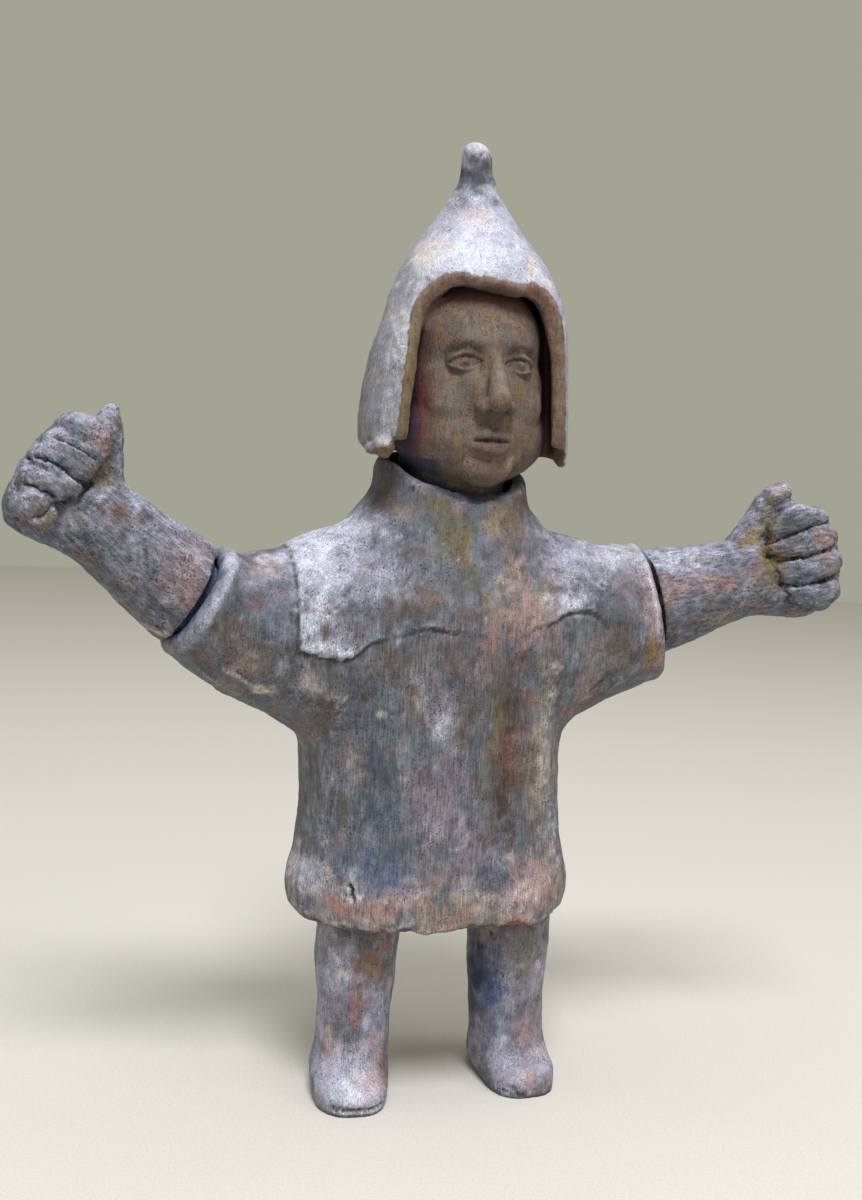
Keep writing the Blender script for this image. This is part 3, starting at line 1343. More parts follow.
@dataclass
class RobeColours:
    """Where the slip, the stains and the dirt lie on the robed body; lengths are in U."""

    # Size of the tall patches that run with the brush.
    tall: Point = (7.0, 7.0, 22.0)
    stains: tuple[Stain, ...] = (
        patches(
            Pigment.SLATE, (-52, -34, 216, 8, 9, 10, .6), (-37, -38, 149, 5, 8, 26, .5),
            (28, -34, 236, 8, 9, 9, .6), (-36, -28, 239, 8, 8, 9, .6), (61, -34, 214, 9, 8, 9, .5)),
        patches(
            Pigment.STEEL, (-26, -33, 240, 12, 10, 12, .5), (-84, -32, 206, 9, 8, 12, .6),
            (-36, -34, 134, 13, 10, 32, .8), (-34, -38, 168, 10, 9, 20, .6), (-34, -38, 112, 13, 8, 14, .75),
            (14, -42, 98, 7, 8, 8, .6), (3, -40, 158, 4, 6, 7, .5), (62, -34, 213, 8, 8, 9, .5),
            (-33, -20, 72, 20, 9, 5, .5), (38, -18, 70, 18, 10, 10, .5), (-42, -22, 36, 8, 6, 14, .6),
            (-20, 36, 160, 22, 12, 34, .5)),
        patches(
            Pigment.UMBER, (-30, -37, 212, 14, 8, 9, .5), (-32, -38, 186, 18, 9, 9, .5),
            (-106, -26, 190, 10, 10, 8, .5), (16, -39, 130, 7, 8, 14, .5), (-10, -38, 192, 14, 8, 10, .4),
            (23, -37, 150, 6, 8, 30, .5), (66, -33, 196, 16, 9, 14, .52),
            (2, -40, 180, 16, 8, 14, .5), (0, -38, 208, 14, 8, 12, .35), (18, -37, 156, 22, 8, 34, .3)),
        patches(
            Pigment.CLAY, (18, -30, 246, 12, 9, 14, .7), (-30, -26, 250, 8, 9, 6, .6),
            (-60, -22, 164, 8, 10, 12, .45),
            (31, -36, 140, 5, 8, 26, .4), (26, 34, 140, 14, 12, 30, .45), (-31, -21, 60, 8, 6, 12, .7),
            (-20, -38, 214, 9, 7, 8, .4), (-22, -36, 233, 6, 7, 7, .35)),
        patches(
            Pigment.STONE, (35.5, -33, 162, 6, 9, 26, .5), (39, -33, 134, 7, 9, 26, .5),
            (58, -32, 192, 14, 9, 9, .4), (35, -21, 56.4, 11, 8, 12, .6),
            (88, -30, 184, 4, 7, 5, .4), (40, -21, 66, 12, 8, 8, .4)),
        patches(
            Pigment.BARK, (20, -38, 168, 8, 8, 16, .8), (17, -39, 136, 6.5, 8, 24, .9),
            (-36, -20, 254, 10, 14, 9, .5), (28, -22, 254, 12, 14, 9, .5), (0, -32, 256, 26, 10, 5, .4),
            (74, -30, 190, 7, 8, 7, .6), (68, -33, 204, 13, 9, 12, .4),
            (-98, -31, 200, 8, 8, 7, .5), (-78, -31, 190, 12, 8, 10, .45),
            (-30, -37, 208, 12, 8, 8, .5), (26, -38, 186, 7, 7, 12, .4)),
        patches(
            Pigment.BLUE, (-36, -38, 102, 15, 8, 8, .6), (-46, -33, 104, 7, 7, 6, .5),
            (-24, -40, 99, 9, 7, 5, .4), (14, -41, 108, 7, 8, 9, .35), (24, -17, 43, 8, 10, 19, .9),
            (18, -22, 20, 5, 10, 15, .8)),
        patches(
            Pigment.NAVY, (-92, -32, 212, 6, 7, 8, .4), (7, -42, 101, 6, 7, 8, .55),
            (-38, -36, 140, 4, 8, 24, .35), (-55, -26, 169, 5, 8, 12, .4), (19, -10, 42, 5, 12, 26, .75),
            (-36, -22, 30, 9, 5, 2.2, .35), (-46.6, -30, 4, 4, 3, 2, .7), (28.3, -31, 2.5, 4, 3, 2.4, .7),
            (-8.6, -40, 180, 7, 7, 6, .5)),
        patches(
            Pigment.OLIVE, (-9, -34, 238, 9, 10, 13, .6), (-1.5, -36, 223, 5, 8, 10, .45),
            (-16, -30, 250, 5, 7, 6, .5), (12.8, -40, 162, 3.4, 6, 10, .75), (10, -40, 140, 5, 8, 12, .35),
            (6, 36, 190, 9, 12, 22, .35)),
        patches(
            Pigment.OCHRE, (-5, -36, 232, 4.6, 8, 9, .35), (12.6, -40, 160, 2.6, 5, 8, .7),
            (83, -34, 192, 4, 8, 8, .6)),
        patches(
            Pigment.SAND, (8.8, -33, 246, 5, 8, 10, .5), (10.6, -38, 212, 6, 8, 9, .55),
            (19.3, -36, 225, 5, 8, 7, .5), (-5, -42, 87, 14, 8, 7, .5), (8, -42, 86, 12, 8, 7, .35),
            (-96, -18, 176, 12, 8, 4, .4), (30, -38, 211, 10, 10, 13, .5), (-88, -28, 186, 9, 8, 7, .45),
            (36, -33, 150, 7, 9, 34, .3), (-31, -21, 62, 8, 6, 11, .35)),
        patches(
            Pigment.MAUVE, (-12, -40, 132, 13, 8, 20, .6), (2, -42, 118, 13, 8, 14, .5),
            (68, -34, 222, 7, 8, 7, .5),
            (-104, -26, 197, 6, 7, 6, .4), (72, -34, 214, 7, 8, 8, .4), (-48, -20, 40, 6, 9, 12, .4)),
        patches(
            Pigment.ROSE, (25, -36, 206, 9, 8, 18, .6), (56, -31, 178, 7, 8, 8, .4),
            (-40, -36, 88, 13, 8, 6, .6), (34, -37, 96, 15, 12, 13, .8), (41, -24, 27, 7, 8, 10, .7),
            (-50, -18, 23, 3.6, 8, 6, .6), (-22, 38, 94, 22, 12, 12, .45), (12, -38, 204, 8, 7, 9, .4),
            (-28, -26, 18, 7, 8, 12, .6), (0, -42, 84, 12, 7, 5, .4), (35, -28, 12, 11, 10, 9, .4)),
        patches(
            Pigment.ORANGE, (9.2, -39, 195, 3.6, 6, 5, .4), (-96, -14, 231, 5, 7, 3, .5),
            (86, -34, 188, 3, 6, 5, .5), (52, -26, 168, 3.6, 8, 9, .3), (-89.6, -29.8, 184, 1.2, 2.5, 1.2, .9),
            (-48, -33, 89, 6, 7, 4, .4), (-34.5, -38, 89, 9, 7, 4, .35), (-19, -40, 92, 7, 6, 5, .35),
            (27, -40, 79.6, 15, 6, 2.4, .6), (-30, -39, 77.5, 12, 6, 2.4, .65),
            (-8, -41.6, 78.2, 12, 6, 1.8, .45), (-24, -20, 70, 5, 7, 4.6, .7),
            (21.4, -18, 68.6, 4, 5, 5, .85), (-38, -22.4, 34.5, 1.2, 3, 1.6, .7)),
        patches(
            Pigment.RUST, (19, -39, 150, 8, 8, 12, .5), (-88, -31, 211, 4, 6, 5, .4),
            (-31, -20, 62, 8, 6, 10, .35), (-37.6, -22.4, 46, 5, 5, 13, .7), (-22, -20, 15, 5, 10, 11, .7),
            (30, -21, 72.6, 10, 4, 2.4, .6), (47, -28, 6, 5, 6, 4, .5), (29, -38, 172, 2.5, 6, 10, .35),
            (44, -24, 20, 3, 6, 9, .4)),
        patches(
            Pigment.LILAC, (-38, -32, 224, 18, 12, 16, .5), (46, -28, 228, 16, 12, 10, .5),
            (-12, -40, 166, 8, 8, 18, .5), (-8, -40, 128, 14, 8, 22, .3), (-40, -36, 119.5, 6, 6, 8, .4),
            (36, -31, 150, 4, 8, 32, .3), (47.6, -26, 113, 5, 9, 14, .4), (-58, -16, 96, 8, 16, 10, .5),
            (2, -42, 112, 12, 8, 14, .25), (-49, -14, 52, 6, 12, 24, .45), (-26, -21, 44, 5, 5, 8, .45),
            (-40, -25, 18, 14, 12, 9, .65), (33, -29, 11, 8, 7, 7, .3), (-46, -32, 103, 6, 5, 5, .4),
            (24, 30, 220, 26, 14, 18, .5), (34, 32, 104, 18, 12, 16, .4), (42.6, -35, 215, 8, 7, 4, .5),
            (-106, -26, 214, 4, 12, 18, .7)),
        patches(
            Pigment.CHALK, (-52, -8, 240, 26, 26, 12, .45), (-62, -22, 226, 12, 22, 16, .55),
            (-64, -34, 203, 6, 8, 12, .65), (-57, -35, 194, 9, 8, 4, .7), (44, -35, 213, 11, 8, 5, .65),
            (70, -18, 232, 16, 18, 6, .45), (-12.5, -40, 164, 5, 5, 6, .35), (-78, -20, 228, 9, 8, 4, .5),
            (-61, -4, 100, 5, 14, 10, .5), (-40, -28, 10, 9, 7, 7, .75), (40.4, -30, 3.8, 1.4, 2, 1.4, .9),
            (-42.4, -34.4, 92.8, 1.1, 2, 2.2, .9), (-45.4, -32, 99.2, 1.4, 2, 1.4, .8),
            (-28, 26, 236, 24, 14, 14, .45), (27, -38, 92, 8, 7, 6, .35)),
        patches(
            Pigment.BLUSH, (82, -36, 214, 3.5, 8, 18, .45), (79, -22, 238, 6, 12, 4, .5),
            (24, -38, 222, 13, 10, 15, .45), (-47, -20, 26, 4, 8, 9, .4), (-30, -26, 26, 7, 7, 7, .35),
            (30, -40, 92, 10, 9, 7, .45), (25, -40, 83, 9, 7, 4, .45), (-80, -24, 225, 8, 9, 5, .4),
            (-83, -24, 229, 4, 6, 3, .5), (-32, -27, 12, 6, 6, 8, .6), (37, -30, 6, 7, 5, 4, .5),
            (46, -22, 17, 4, 6, 7, .35), (-80, -25.4, 174.2, 5, 4, 2.6, .4), (-38, -37, 86, 7, 6, 3, .35)),
        patches(
            Pigment.CREAM, (-86.8, -26.4, 181, 2.4, 3, 2.4, .5), (-84, -26.4, 177, 6, 4, 3.6, .75),
            (-64, -30, 180, 4, 6, 5, .3), (-35.7, -36, 168, 1.6, 3, 2.6, .6), (-46.2, -17, 67, 1.2, 3, 6, .6),
            (-43, -20, 57, 2.2, 3, 4.4, .7), (-48, -30, 80, 9, 9, 2.6, .5), (4, -38, 206, 2.6, 4, 2.4, .4),
            (14, -35, 222, 4, 6, 4, .3)),
        patches(
            Pigment.CREAM, (35.5, -33, 162, 6, 9, 22, .12), (38, -33, 138, 6, 9, 20, .12),
            (42, -31, 114, 7, 9, 14, .12),
            (-62, -10, 176, 4, 12, 16, .42)),
        patches(
            Pigment.SOOT, (-44.8, -32.6, 95, 1.0, 3, 2.6, .8), (-44, -31, 3.2, 6, 4, 1.8, .6),
            (-35, -33, 3.0, 8, 4, 1.6, .6), (31, -33, 2.4, 6, 4, 1.6, .6)),
    )

    def lay_slip(self, coat: Coat, body: RobeBody) -> None:
        """Set how thick the dry slip lies: most on the shoulders, the legs and the hem.

        Args:
            coat: The body's coat.
            body: The body's sizes.
        """
        x, y, z = coat.points.T
        up = coat.normals[:, 2]
        legs = fade(-z, -76.0, -70.0)
        skirt = fade(z, 74.0, 80.0) * fade(-z, -112.0, -92.0)
        warm = (0.38 * fade(-z, -196.0, -180.0) * fade(z, 66.0, 78.0))[:, None]
        coat.slip = coat.slip * (1.0 - warm) + Pigment.CREAM.linear * warm
        coat.cover = 0.15 + 0.5 * fade(up, 0.05, 0.75) + legs * (0.29 + 0.16 * (x < 0.0)) + 0.2 * skirt
        coat.cover -= 0.45 * fade(z, 240.0, 251.0)
        middle = fade(-np.abs(x - 10.0), -28.0, -12.0) * fade(-np.abs(z - 156.0), -46.0, -28.0)
        coat.cover -= 0.24 * middle * (y < 0.0)
        coat.cover += coat.grain.layers(coat.points, (0.34, self.tall, 3, 4.0), (0.16, 5.0, 3, 8.0))
        # The cape's right corner keeps its slip, and the worn side next to it has lost it.
        share, _, _ = body.cape(coat.points, Grain(body.seed))
        corner = fade(-x, 34.0, 62.0) * (y < 0.0)
        coat.cover += 0.30 * share * corner
        coat.cover -= 0.22 * (1.0 - share) * fade(-x, 66.0, 70.0) * fade(up, 0.0, 0.5)
        coat.cover = np.clip(coat.cover * (1.0 - 0.7 * fade(-up, 0.3, 0.9)), 0.0, 0.92)
        coat.mottle(Pigment.ROSE, 10.0, 0.45, 0.5, 11.0, skirt)
        coat.mottle(Pigment.BLUSH, 8.0, 0.35, 0.4, 12.0, np.maximum(skirt, 0.6 * legs))

    def paint_seats(self, coat: Coat) -> None:
        """Paint the sleeves' lips and mouths, the collar's rim and hollow, and the underside.

        Args:
            coat: The body's coat.
        """
        x, y, z = coat.points.T
        for arm in (RIGHT_ARM, LEFT_ARM):
            at = (coat.points - np.array(arm.place)) @ np.array(arm.frame()[0])
            far = np.linalg.norm(coat.points - np.array(arm.place), axis=1)
            tint, much = (Pigment.LILAC, 0.55) if arm is RIGHT_ARM else (Pigment.BLUSH, 0.2)
            lip = np.exp(-((at + 3.4) / 2.2) ** 2) * (far < 34.0) * fade(-y, 8.0, 16.0)
            coat.lay(tint, lip * much * (0.8 + coat.grain.lumps(coat.points, 6.0, 3, 15.0)))
            coat.lay(Pigment.BLUE, fade(at, -0.4, 0.4) * (far < 45.0) * 0.7)
            coat.lay(Pigment.BLUE, (far < 19.5) * 0.95)
        coat.lay(Pigment.BARK, fade(z, 256.0, 266.0) * 0.5)
        inner = (np.hypot(x - COLLAR_X, y - COLLAR_Y) < 26.0) & (z > 240.0)
        coat.lay(Pigment.NAVY, inner * 0.8)
        coat.lay(Pigment.BARK, fade(z, 77.0, 80.0) * (coat.normals[:, 2] < -0.6) * (z < 92.0) * 0.7)

    def paint(self, clay: Clay, body: RobeBody) -> None:
        """Paint the body.

        Args:
            clay: Its finished skin.
            body: Its sizes.
        """
        coat = Coat(clay, Grain(23), Pigment.SLATE)
        z = coat.points[:, 2]
        coat.mottle(Pigment.UMBER, (12.0, 12.0, 26.0), 0.45, 0.6, 1.0)
        coat.mottle(Pigment.STEEL, self.tall, 0.42, 0.6, 2.0)
        coat.mottle(Pigment.MAUVE, (10.0, 10.0, 16.0), 0.4, 0.5, 3.0)
        coat.mottle(Pigment.BARK, (4.0, 4.0, 12.0), 0.30, 0.5, 5.0)
        coat.mottle(Pigment.CLAY, (6.0, 6.0, 9.0), 0.24, 0.5, 7.0)
        coat.mottle(Pigment.ROSE, (9.0, 9.0, 12.0), 0.16, 0.4, 6.0)
        self.lay_slip(coat, body)
        coat.stain(self.stains)
        coat.mottle(Pigment.SOOT, (2.6, 2.6, 7.0), 0.18, 0.35, 10.0)
        coat.wear(3, 24)
        coat.lay(Pigment.SOOT, fade(-z, -1.6, -0.5) * 0.85)
        self.paint_seats(coat)
        coat.strokes[:] = np.where(z < 78.0, 0.5, np.where(z < 205.0, 0.8, 0.45))
        coat.store()


@dataclass
class HoodedHead:
    """The head in its pointed hood, with the neck that stands in the collar; lengths are in U."""

    shell_voxel: float = 1.0
    rough_voxel: float = 0.85
    voxel: float = 0.775
    hood_wall: float = 4.6
    brim_thick: float = 8.2
    brim_reach: float = 3.4
    # Inner edge of the brim, kept when the brim is made.
    brim_corner: list[Point] = field(default_factory=list)
    neck_clearance: float = 3.5
    power: float = 2.15
    bottom_fall: float = 0.22
    # Height, half width, front depth, back depth, centre x, centre y.
    hood: tuple[Row, ...] = (
        (272.0, 43.4, 38.0, 36.0, 2.4, -11.0),
        (280.0, 43.8, 39.0, 37.0, 2.2, -11.0),
        (292.0, 43.0, 39.6, 38.0, 2.2, -11.0),
        (312.0, 40.8, 39.6, 38.0, 3.4, -11.0),
        (325.0, 38.0, 38.4, 36.6, 5.0, -10.6),
        (337.0, 34.8, 35.6, 33.4, 5.4, -9.8),
        (349.0, 29.4, 30.0, 28.0, 5.2, -8.6),
        (361.0, 21.2, 21.4, 20.4, 5.0, -7.2),
        (372.0, 13.8, 13.8, 13.8, 5.2, -6.2),
        (381.0, 8.6, 8.8, 8.8, 5.6, -5.6),
        (388.0, 6.6, 6.6, 6.6, 5.6, -5.2),
        (393.5, 6.3, 6.4, 6.4, 5.4, -5.0),
        (396.8, 5.4, 5.6, 5.6, 5.0, -5.0),
        (399.0, 3.6, 3.8, 3.8, 4.8, -5.0),
        (400.2, 1.4, 1.4, 1.4, 4.8, -5.0),
    )
    # Height and half width of the opening, from the top of its arch down.
    opening: tuple[tuple[float, float], ...] = (
        (341.6, 8.0), (341.2, 17.0), (338.4, 23.5), (332.5, 28.6), (322.0, 32.0), (305.0, 34.5),
        (290.0, 36.0), (276.0, 37.0), (256.0, 38.0),
    )
    opening_x: float = 1.9
    cavity_top: float = 345.5
    cavity_back: float = -12.0
    cavity_foot: float = 250.0
    neck_top: float = 290.0
    # The face stands on plain thirds: hairline, brow, base of the nose and chin at even steps.
    face_x: float = 3.6
    face_y: float = -12.0
    hairline: float = 343.0
    chin: float = 259.0
    eye_apart: float = 11.8
    eye_drop: float = 7.4
    mouth_drop: float = 9.6
    marks: tuple[Mark, ...] = (
        # Dents and chips of the knob.
        *spots((4.8, -11.4, 393.6, 0.9, -1.2), (1.0, -10.8, 391.0, 1.8, -0.9)),
        *spots((7.4, -11.0, 396.0, 1.8, 0.8), (0.2, -8.0, 396.4, 1.8, 0.8), (-0.6, -6.0, 389.0, 1.6, 0.7),
               ragged=0.9),
        Mark(((10.6, -6.0, 391.0), (11.0, -8.0, 386.0)), 1.3, -0.9, ragged=0.9),
        Mark(((4.0, -12.0, 388.0), (5.0, -12.6, 383.0)), 1.6, -0.6, ragged=0.9),
        # Worn corners of the hood's lower edge.
        Mark(((-39.0, -26.0, 273.0), (-37.0, -31.0, 274.0)), 2.4, 0.6, ragged=0.9),
        Mark(((-41.0, -18.0, 271.0),), 2.4, 1.1, ragged=0.9),
        Mark(((-40.2, -20.0, 276.0), (-40.6, -12.0, 274.0)), 1.2, -0.8, ragged=0.9),
        Mark(((40.0, -26.0, 268.0),), 2.0, 0.7, ragged=0.9),
    )

    @property
    def brow(self) -> float:
        """Height of the brow."""
        return self.hairline - (self.hairline - self.chin) / 3.0

    @property
    def nose_base(self) -> float:
        """Height of the base of the nose."""
        return self.chin + (self.hairline - self.chin) / 3.0

    @property
    def eye_z(self) -> float:
        """Height of the eyes."""
        return self.brow - self.eye_drop

    @property
    def mouth(self) -> float:
        """Height of the line between the lips."""
        return self.nose_base - self.mouth_drop

    def hood_rings(self) -> list[Ring]:
        """Draw the hood's outside.

        Returns:
            Its rings, lower at the front than at the nape.
        """
        rings = []
        for z, half, front, back, x, y in smooth_rows(self.hood):
            fall = max(0.0, 1.0 - (z - self.hood[0][0]) / 12.0) * self.bottom_fall
            ring = level_oval((z, half, front, back, x, y), self.power)
            centre = Vector((x, y, z)) * U
            for point in ring:
                point.z += fall * (point.y - centre.y)
            rings.append(ring)
        return rings

    def cavity_rings(self) -> list[Ring]:
        """Draw the inside of the hood.

        Returns:
            The rings of the hollow in its front half.
        """
        rows = [(self.cavity_foot, *self.hood[0][1:])]
        rows += [tuple(row) for row in smooth_rows(self.hood) if row[0] < self.cavity_top]
        wall = self.hood_wall
        return [level_oval((z, half - wall, front - wall, max(1.0, self.cavity_back - y), x, y), self.power)
                for z, half, front, _, x, y in rows]

    def hood_front(self, x: float, z: float, inset: float) -> float:
        """Find how far forward the hood's skin is.

        Args:
            x: Where it is asked, in U.
            z: Height, in U.
            inset: How far inside the skin.

        Returns:
            The place along y, in U.
        """
        rows = smooth_rows(self.hood)
        half, front, centre_x, centre_y = (
            float(np.interp(z, rows[:, 0], rows[:, index])) for index in (1, 2, 4, 5))
        share = min(0.999, abs(x - centre_x) / (half - inset))
        return centre_y - (front - inset) * (1.0 - share ** self.power) ** (1.0 / self.power)

    def outline(self) -> list[tuple[float, float]]:
        """Draw the outline of the hood's opening.

        Returns:
            Its x and z in U, from one foot over the arch to the other.
        """
        rows = [tuple(row) for row in smooth_rows(self.opening, 4)]
        right = [(self.opening_x - half, z) for z, half in reversed(rows)]
        return right + [(self.opening_x + half, z) for z, half in rows]

    def brim_line(self, lowest: float) -> list[Point]:
        """Draw the line that the brim follows, down to a height, a little inside the hood's skin."""
        return [(x, self.hood_front(x, z, 2.0), z) for x, z in self.outline() if z > lowest]

    def add_brim(self, clay: Clay) -> None:
        """Add the thick, uneven edge around the opening, level with the hood's skin.

        Args:
            clay: The head.
        """
        lowest = self.hood[0][0] - 1.0
        places = []
        for x, z in self.outline():
            if z < lowest:
                continue
            top = min(1.0, max(0.0, (z - 322.0) / 12.0))
            wave = 1.4 * math.exp(-((x + 13.0) / 6.0) ** 2) - 2.8 * math.exp(-((x - 8.0) / 6.0) ** 2)
            wave -= 0.8 * math.exp(-((x - 22.0) / 6.0) ** 2)
            wave += 0.3 * math.sin(0.9 * x + 0.31 * z) + 0.2 * math.sin(2.1 * x)
            places.append((x, z + top * wave))
        rings = []
        for index, (x, z) in enumerate(places):
            skin = Vector((x, self.hood_front(x, z, 0.0), z))
            step = 0.5
            ahead = Vector((1.0, (self.hood_front(x + step, z, 0.0) - skin.y) / step, 0.0))
            rise = Vector((0.0, (self.hood_front(x, z + step, 0.0) - skin.y) / step, 1.0))
            outward = ahead.cross(rise).normalized()
            before, after = places[max(index - 1, 0)], places[min(index + 1, len(places) - 1)]
            path = ahead * (after[0] - before[0]) + rise * (after[1] - before[1])
            inward = path.cross(outward).normalized()
            if inward.dot(Vector((self.opening_x - x, 0.0, 300.0 - z))) < 0.0:
                inward = -inward
            arch = min(1.0, max(0.0, (z - 300.0) / 34.0))
            half = 0.5 * (self.hood_wall + 1.6 + (self.brim_thick - self.hood_wall - 1.6) * arch)
            centre = skin - outward * (half - 0.2)
            rings.append(oval(centre * U, inward, outward, self.brim_reach * U, half * U, half * U, 5.0))
            self.brim_corner.append(tuple(centre + inward * self.brim_reach + outward * half))
        clay.loft(rings)

    def add_neck(self, clay: Clay, body: RobeBody) -> None:
        """Add the neck that stands in the collar's hollow.

        Args:
            clay: The head.
            body: The body whose collar takes it.
        """
        rings = body.collar_hollow()[:2]
        middle = sum(rings[0], Vector()) / len(rings[0])
        inset = self.neck_clearance * U
        slim = [[point - (point - Vector((middle.x, middle.y, point.z))).normalized() * inset
                 for point in ring] for ring in rings]
        foot = [point - Z_AXIS * U for point in slim[0]]
        head = [middle + (point - middle) * 0.94 for point in slim[0]]
        for point in head:
            point.z = self.neck_top * U
        clay.loft([foot, *slim, head])

    def at(self, x: float, y: float, z: float) -> Point:
        """A place on the face, measured from its own middle line."""
        return (self.face_x + x, self.face_y + y, z)

    def add_head(self, clay: Clay) -> None:
        """Add the large forms of the head.

        Args:
            clay: The head.
        """
        clay.ball(self.at(0.0, 2.0, 314.0), (30.5, 32.0, 33.0))
        clay.ball(self.at(0.0, -4.0, 298.0), (29.6, 25.4, 35.0))
        clay.ball(self.at(-0.6, -4.5, 280.0), (32.0, 24.4, 21.6))
        clay.ball(self.at(0.0, -19.5, self.chin + 8.8), (12.0, 9.0, 9.0))
        for side in (-1.0, 1.0):
            clay.ball(self.at(side * 14.0, -17.0, 292.0), (11.0, 9.4, 13.0))
        brow = self.brow
        clay.limb([(*self.at(x, y, brow + z), radius) for x, y, z, radius in (
            (-20.0, -19.0, -3.6, 2.2), (-12.0, -25.4, 0.6, 3.5), (0.0, -26.6, 0.2, 3.8),
            (12.0, -25.4, 0.6, 3.5), (20.0, -19.0, -3.6, 2.2))])
        base = self.nose_base
        clay.limb([(*self.at(0.0, y, z), radius) for y, z, radius in (
            (-26.4, brow - 1.0, 3.6), (-29.8, brow - 9.0, 3.5), (-33.0, base + 11.0, 4.2),
            (-34.8, base + 5.6, 5.0))])

    def add_features(self, clay: Clay) -> None:
        """Add the eyes, the wings of the nose and the lips.

        Args:
            clay: The head.
        """
        base, mouth = self.nose_base, self.mouth
        for side in (-1.0, 1.0):
            eye = Vector(self.at(side * self.eye_apart, -20.4, self.eye_z))
            clay.ball(tuple(eye), (6.5, 6.3, 6.3))
            for rise, drop, thick in ((3.3, -0.2, 1.2), (-2.5, 0.2, 0.9)):
                lid = []
                for step in range(9):
                    t = step / 4.0 - 1.0
                    x = 6.5 * t
                    z = rise * (1.0 - t * t) ** 0.8 - drop - 0.5 * t * side
                    y = -math.sqrt(max(4.0, 46.5 - x * x - z * z))
                    radius = thick * (1.0 - 0.35 * t * t)
                    lid.append((eye.x + x, eye.y + y, eye.z + z, radius))
                clay.limb(lid, 3)
            clay.ball(self.at(side * 5.4, -30.6, base + 3.4), (3.3, 4.0, 3.2))
        clay.ball(self.at(0.0, -29.5, base + 4.5), (5.2, 4.6, 4.8))
        clay.ball(self.at(0.0, -35.0, base + 5.0), (4.8, 3.6, 3.8))
        upper = ((-9.6, -24.8, 0.3, 1.0), (-5.4, -27.6, 1.6, 1.9), (-1.8, -29.2, 2.5, 2.2),
                 (0.0, -29.2, 2.1, 2.1), (1.8, -29.2, 2.5, 2.2), (5.4, -27.6, 1.6, 1.9),
                 (9.6, -24.8, 0.3, 1.0))
        lower = ((-8.6, -24.8, -1.0, 1.1), (-4.0, -27.8, -2.8, 2.5), (0.0, -28.8, -3.1, 2.9),
                 (4.0, -27.8, -2.8, 2.5), (8.6, -24.8, -1.0, 1.1))
        for lip in (upper, lower):
            clay.limb([(*self.at(x, y, mouth + z), radius) for x, y, z, radius in lip], 6)

    def dent_face(self, clay: Clay, grain: Grain) -> None:
        """Press in the hollows of the eyes, the temples and under the lip.

        Args:
            clay: The head.
            grain: Noise for the tool.
        """
        eye_z, mouth = self.eye_z, self.mouth
        marks = []
        for side in (-1.0, 1.0):
            marks.append(Mark((self.at(side * 7.0, -26.0, eye_z + 1.0), self.at(side * 16.0, -24.0, eye_z)),
                              5.2, -2.6, ragged=0.0))
            marks.append(Mark((self.at(side * 26.0, -14.0, 312.0),), 8.0, -1.2, ragged=0.0))
            marks.append(Mark((self.at(side * 19.0, -18.0, 274.0),), 7.0, -0.8, ragged=0.0))
        marks.append(Mark((self.at(-5.0, -25.0, mouth - 7.6), self.at(5.0, -25.0, mouth - 7.6)), 3.2, -1.5,
                          ragged=0.0))
        clay.tool(marks, grain)

    def arc(self, side: float, z: float, rise: float, half: float) -> tuple[Point, ...]:
        """Draw a line over or under an eye, from corner to corner.

        Args:
            side: -1 for the right eye, 1 for the left.
            z: Height of the corners.
            rise: How far its middle stands higher.
            half: Half its length.

        Returns:
            Its points.
        """
        steps = [step / 4.0 - 1.0 for step in range(9)]
        return tuple(self.at(side * self.eye_apart + half * t, -27.0,
                             z + rise * (1.0 - t * t) - 0.5 * t * side) for t in steps)

    def carve_face(self, clay: Clay, grain: Grain) -> None:
        """Cut the fine lines of the face.

        Args:
            clay: The head.
            grain: Noise for the tool.
        """
        eye_z, base, mouth = self.eye_z, self.nose_base, self.mouth
        marks = [
            Mark(tuple(self.at(x, y, mouth + z) for x, y, z in (
                (-10.4, -25.0, -0.2), (-5.0, -29.0, -0.3), (0.0, -31.0, -0.1), (5.0, -29.0, -0.3),
                (10.4, -25.0, -0.2))), 0.7, -1.3, ragged=0.1),
            Mark((self.at(0.0, -31.0, base - 1.6), self.at(0.0, -31.0, mouth + 4.6)), 1.5, -0.7, ragged=0.0),
            Mark((self.at(0.0, -36.0, base + 0.2), self.at(0.0, -30.0, base - 0.4)), 0.9, 0.5, ragged=0.0),
        ]
        for side in (-1.0, 1.0):
            marks += [
                Mark((self.at(side * 3.0, -33.0, base + 0.6), self.at(side * 3.6, -31.0, base + 0.6)), 1.25,
                     -1.9, ragged=0.0),
                Mark((self.at(side * 7.6, -28.0, base + 5.6), self.at(side * 8.6, -26.6, base + 2.0)), 0.9,
                     -0.7, ragged=0.0),
                Mark((self.at(side * 5.0, -27.0, eye_z + 3.6),
                      self.at(side * self.eye_apart, -28.6, eye_z + 6.0),
                      self.at(side * 19.0, -24.0, eye_z + 3.0)), 0.9, -0.8, ragged=0.2),
                Mark((self.at(side * 10.6, -24.0, mouth - 0.6),), 1.3, -0.8, ragged=0.0),
                Mark(self.arc(side, eye_z, 2.1, 6.4), 0.5, -0.9, Edge.SHARP, 0.1, FRONT),
                Mark(self.arc(side, eye_z, -1.7, 6.4), 0.45, -0.7, Edge.SHARP, 0.1, FRONT),
                Mark((self.at(side * self.eye_apart, -27.0, eye_z + 0.2),), 1.9, -0.45, Edge.RING, 0.0, FRONT),
                Mark((self.at(side * 9.0, -27.0, base + 0.4), self.at(side * 14.0, -24.0, mouth + 1.0)), 2.0,
                     -0.35, ragged=0.1),
            ]
        clay.tool(marks, grain)

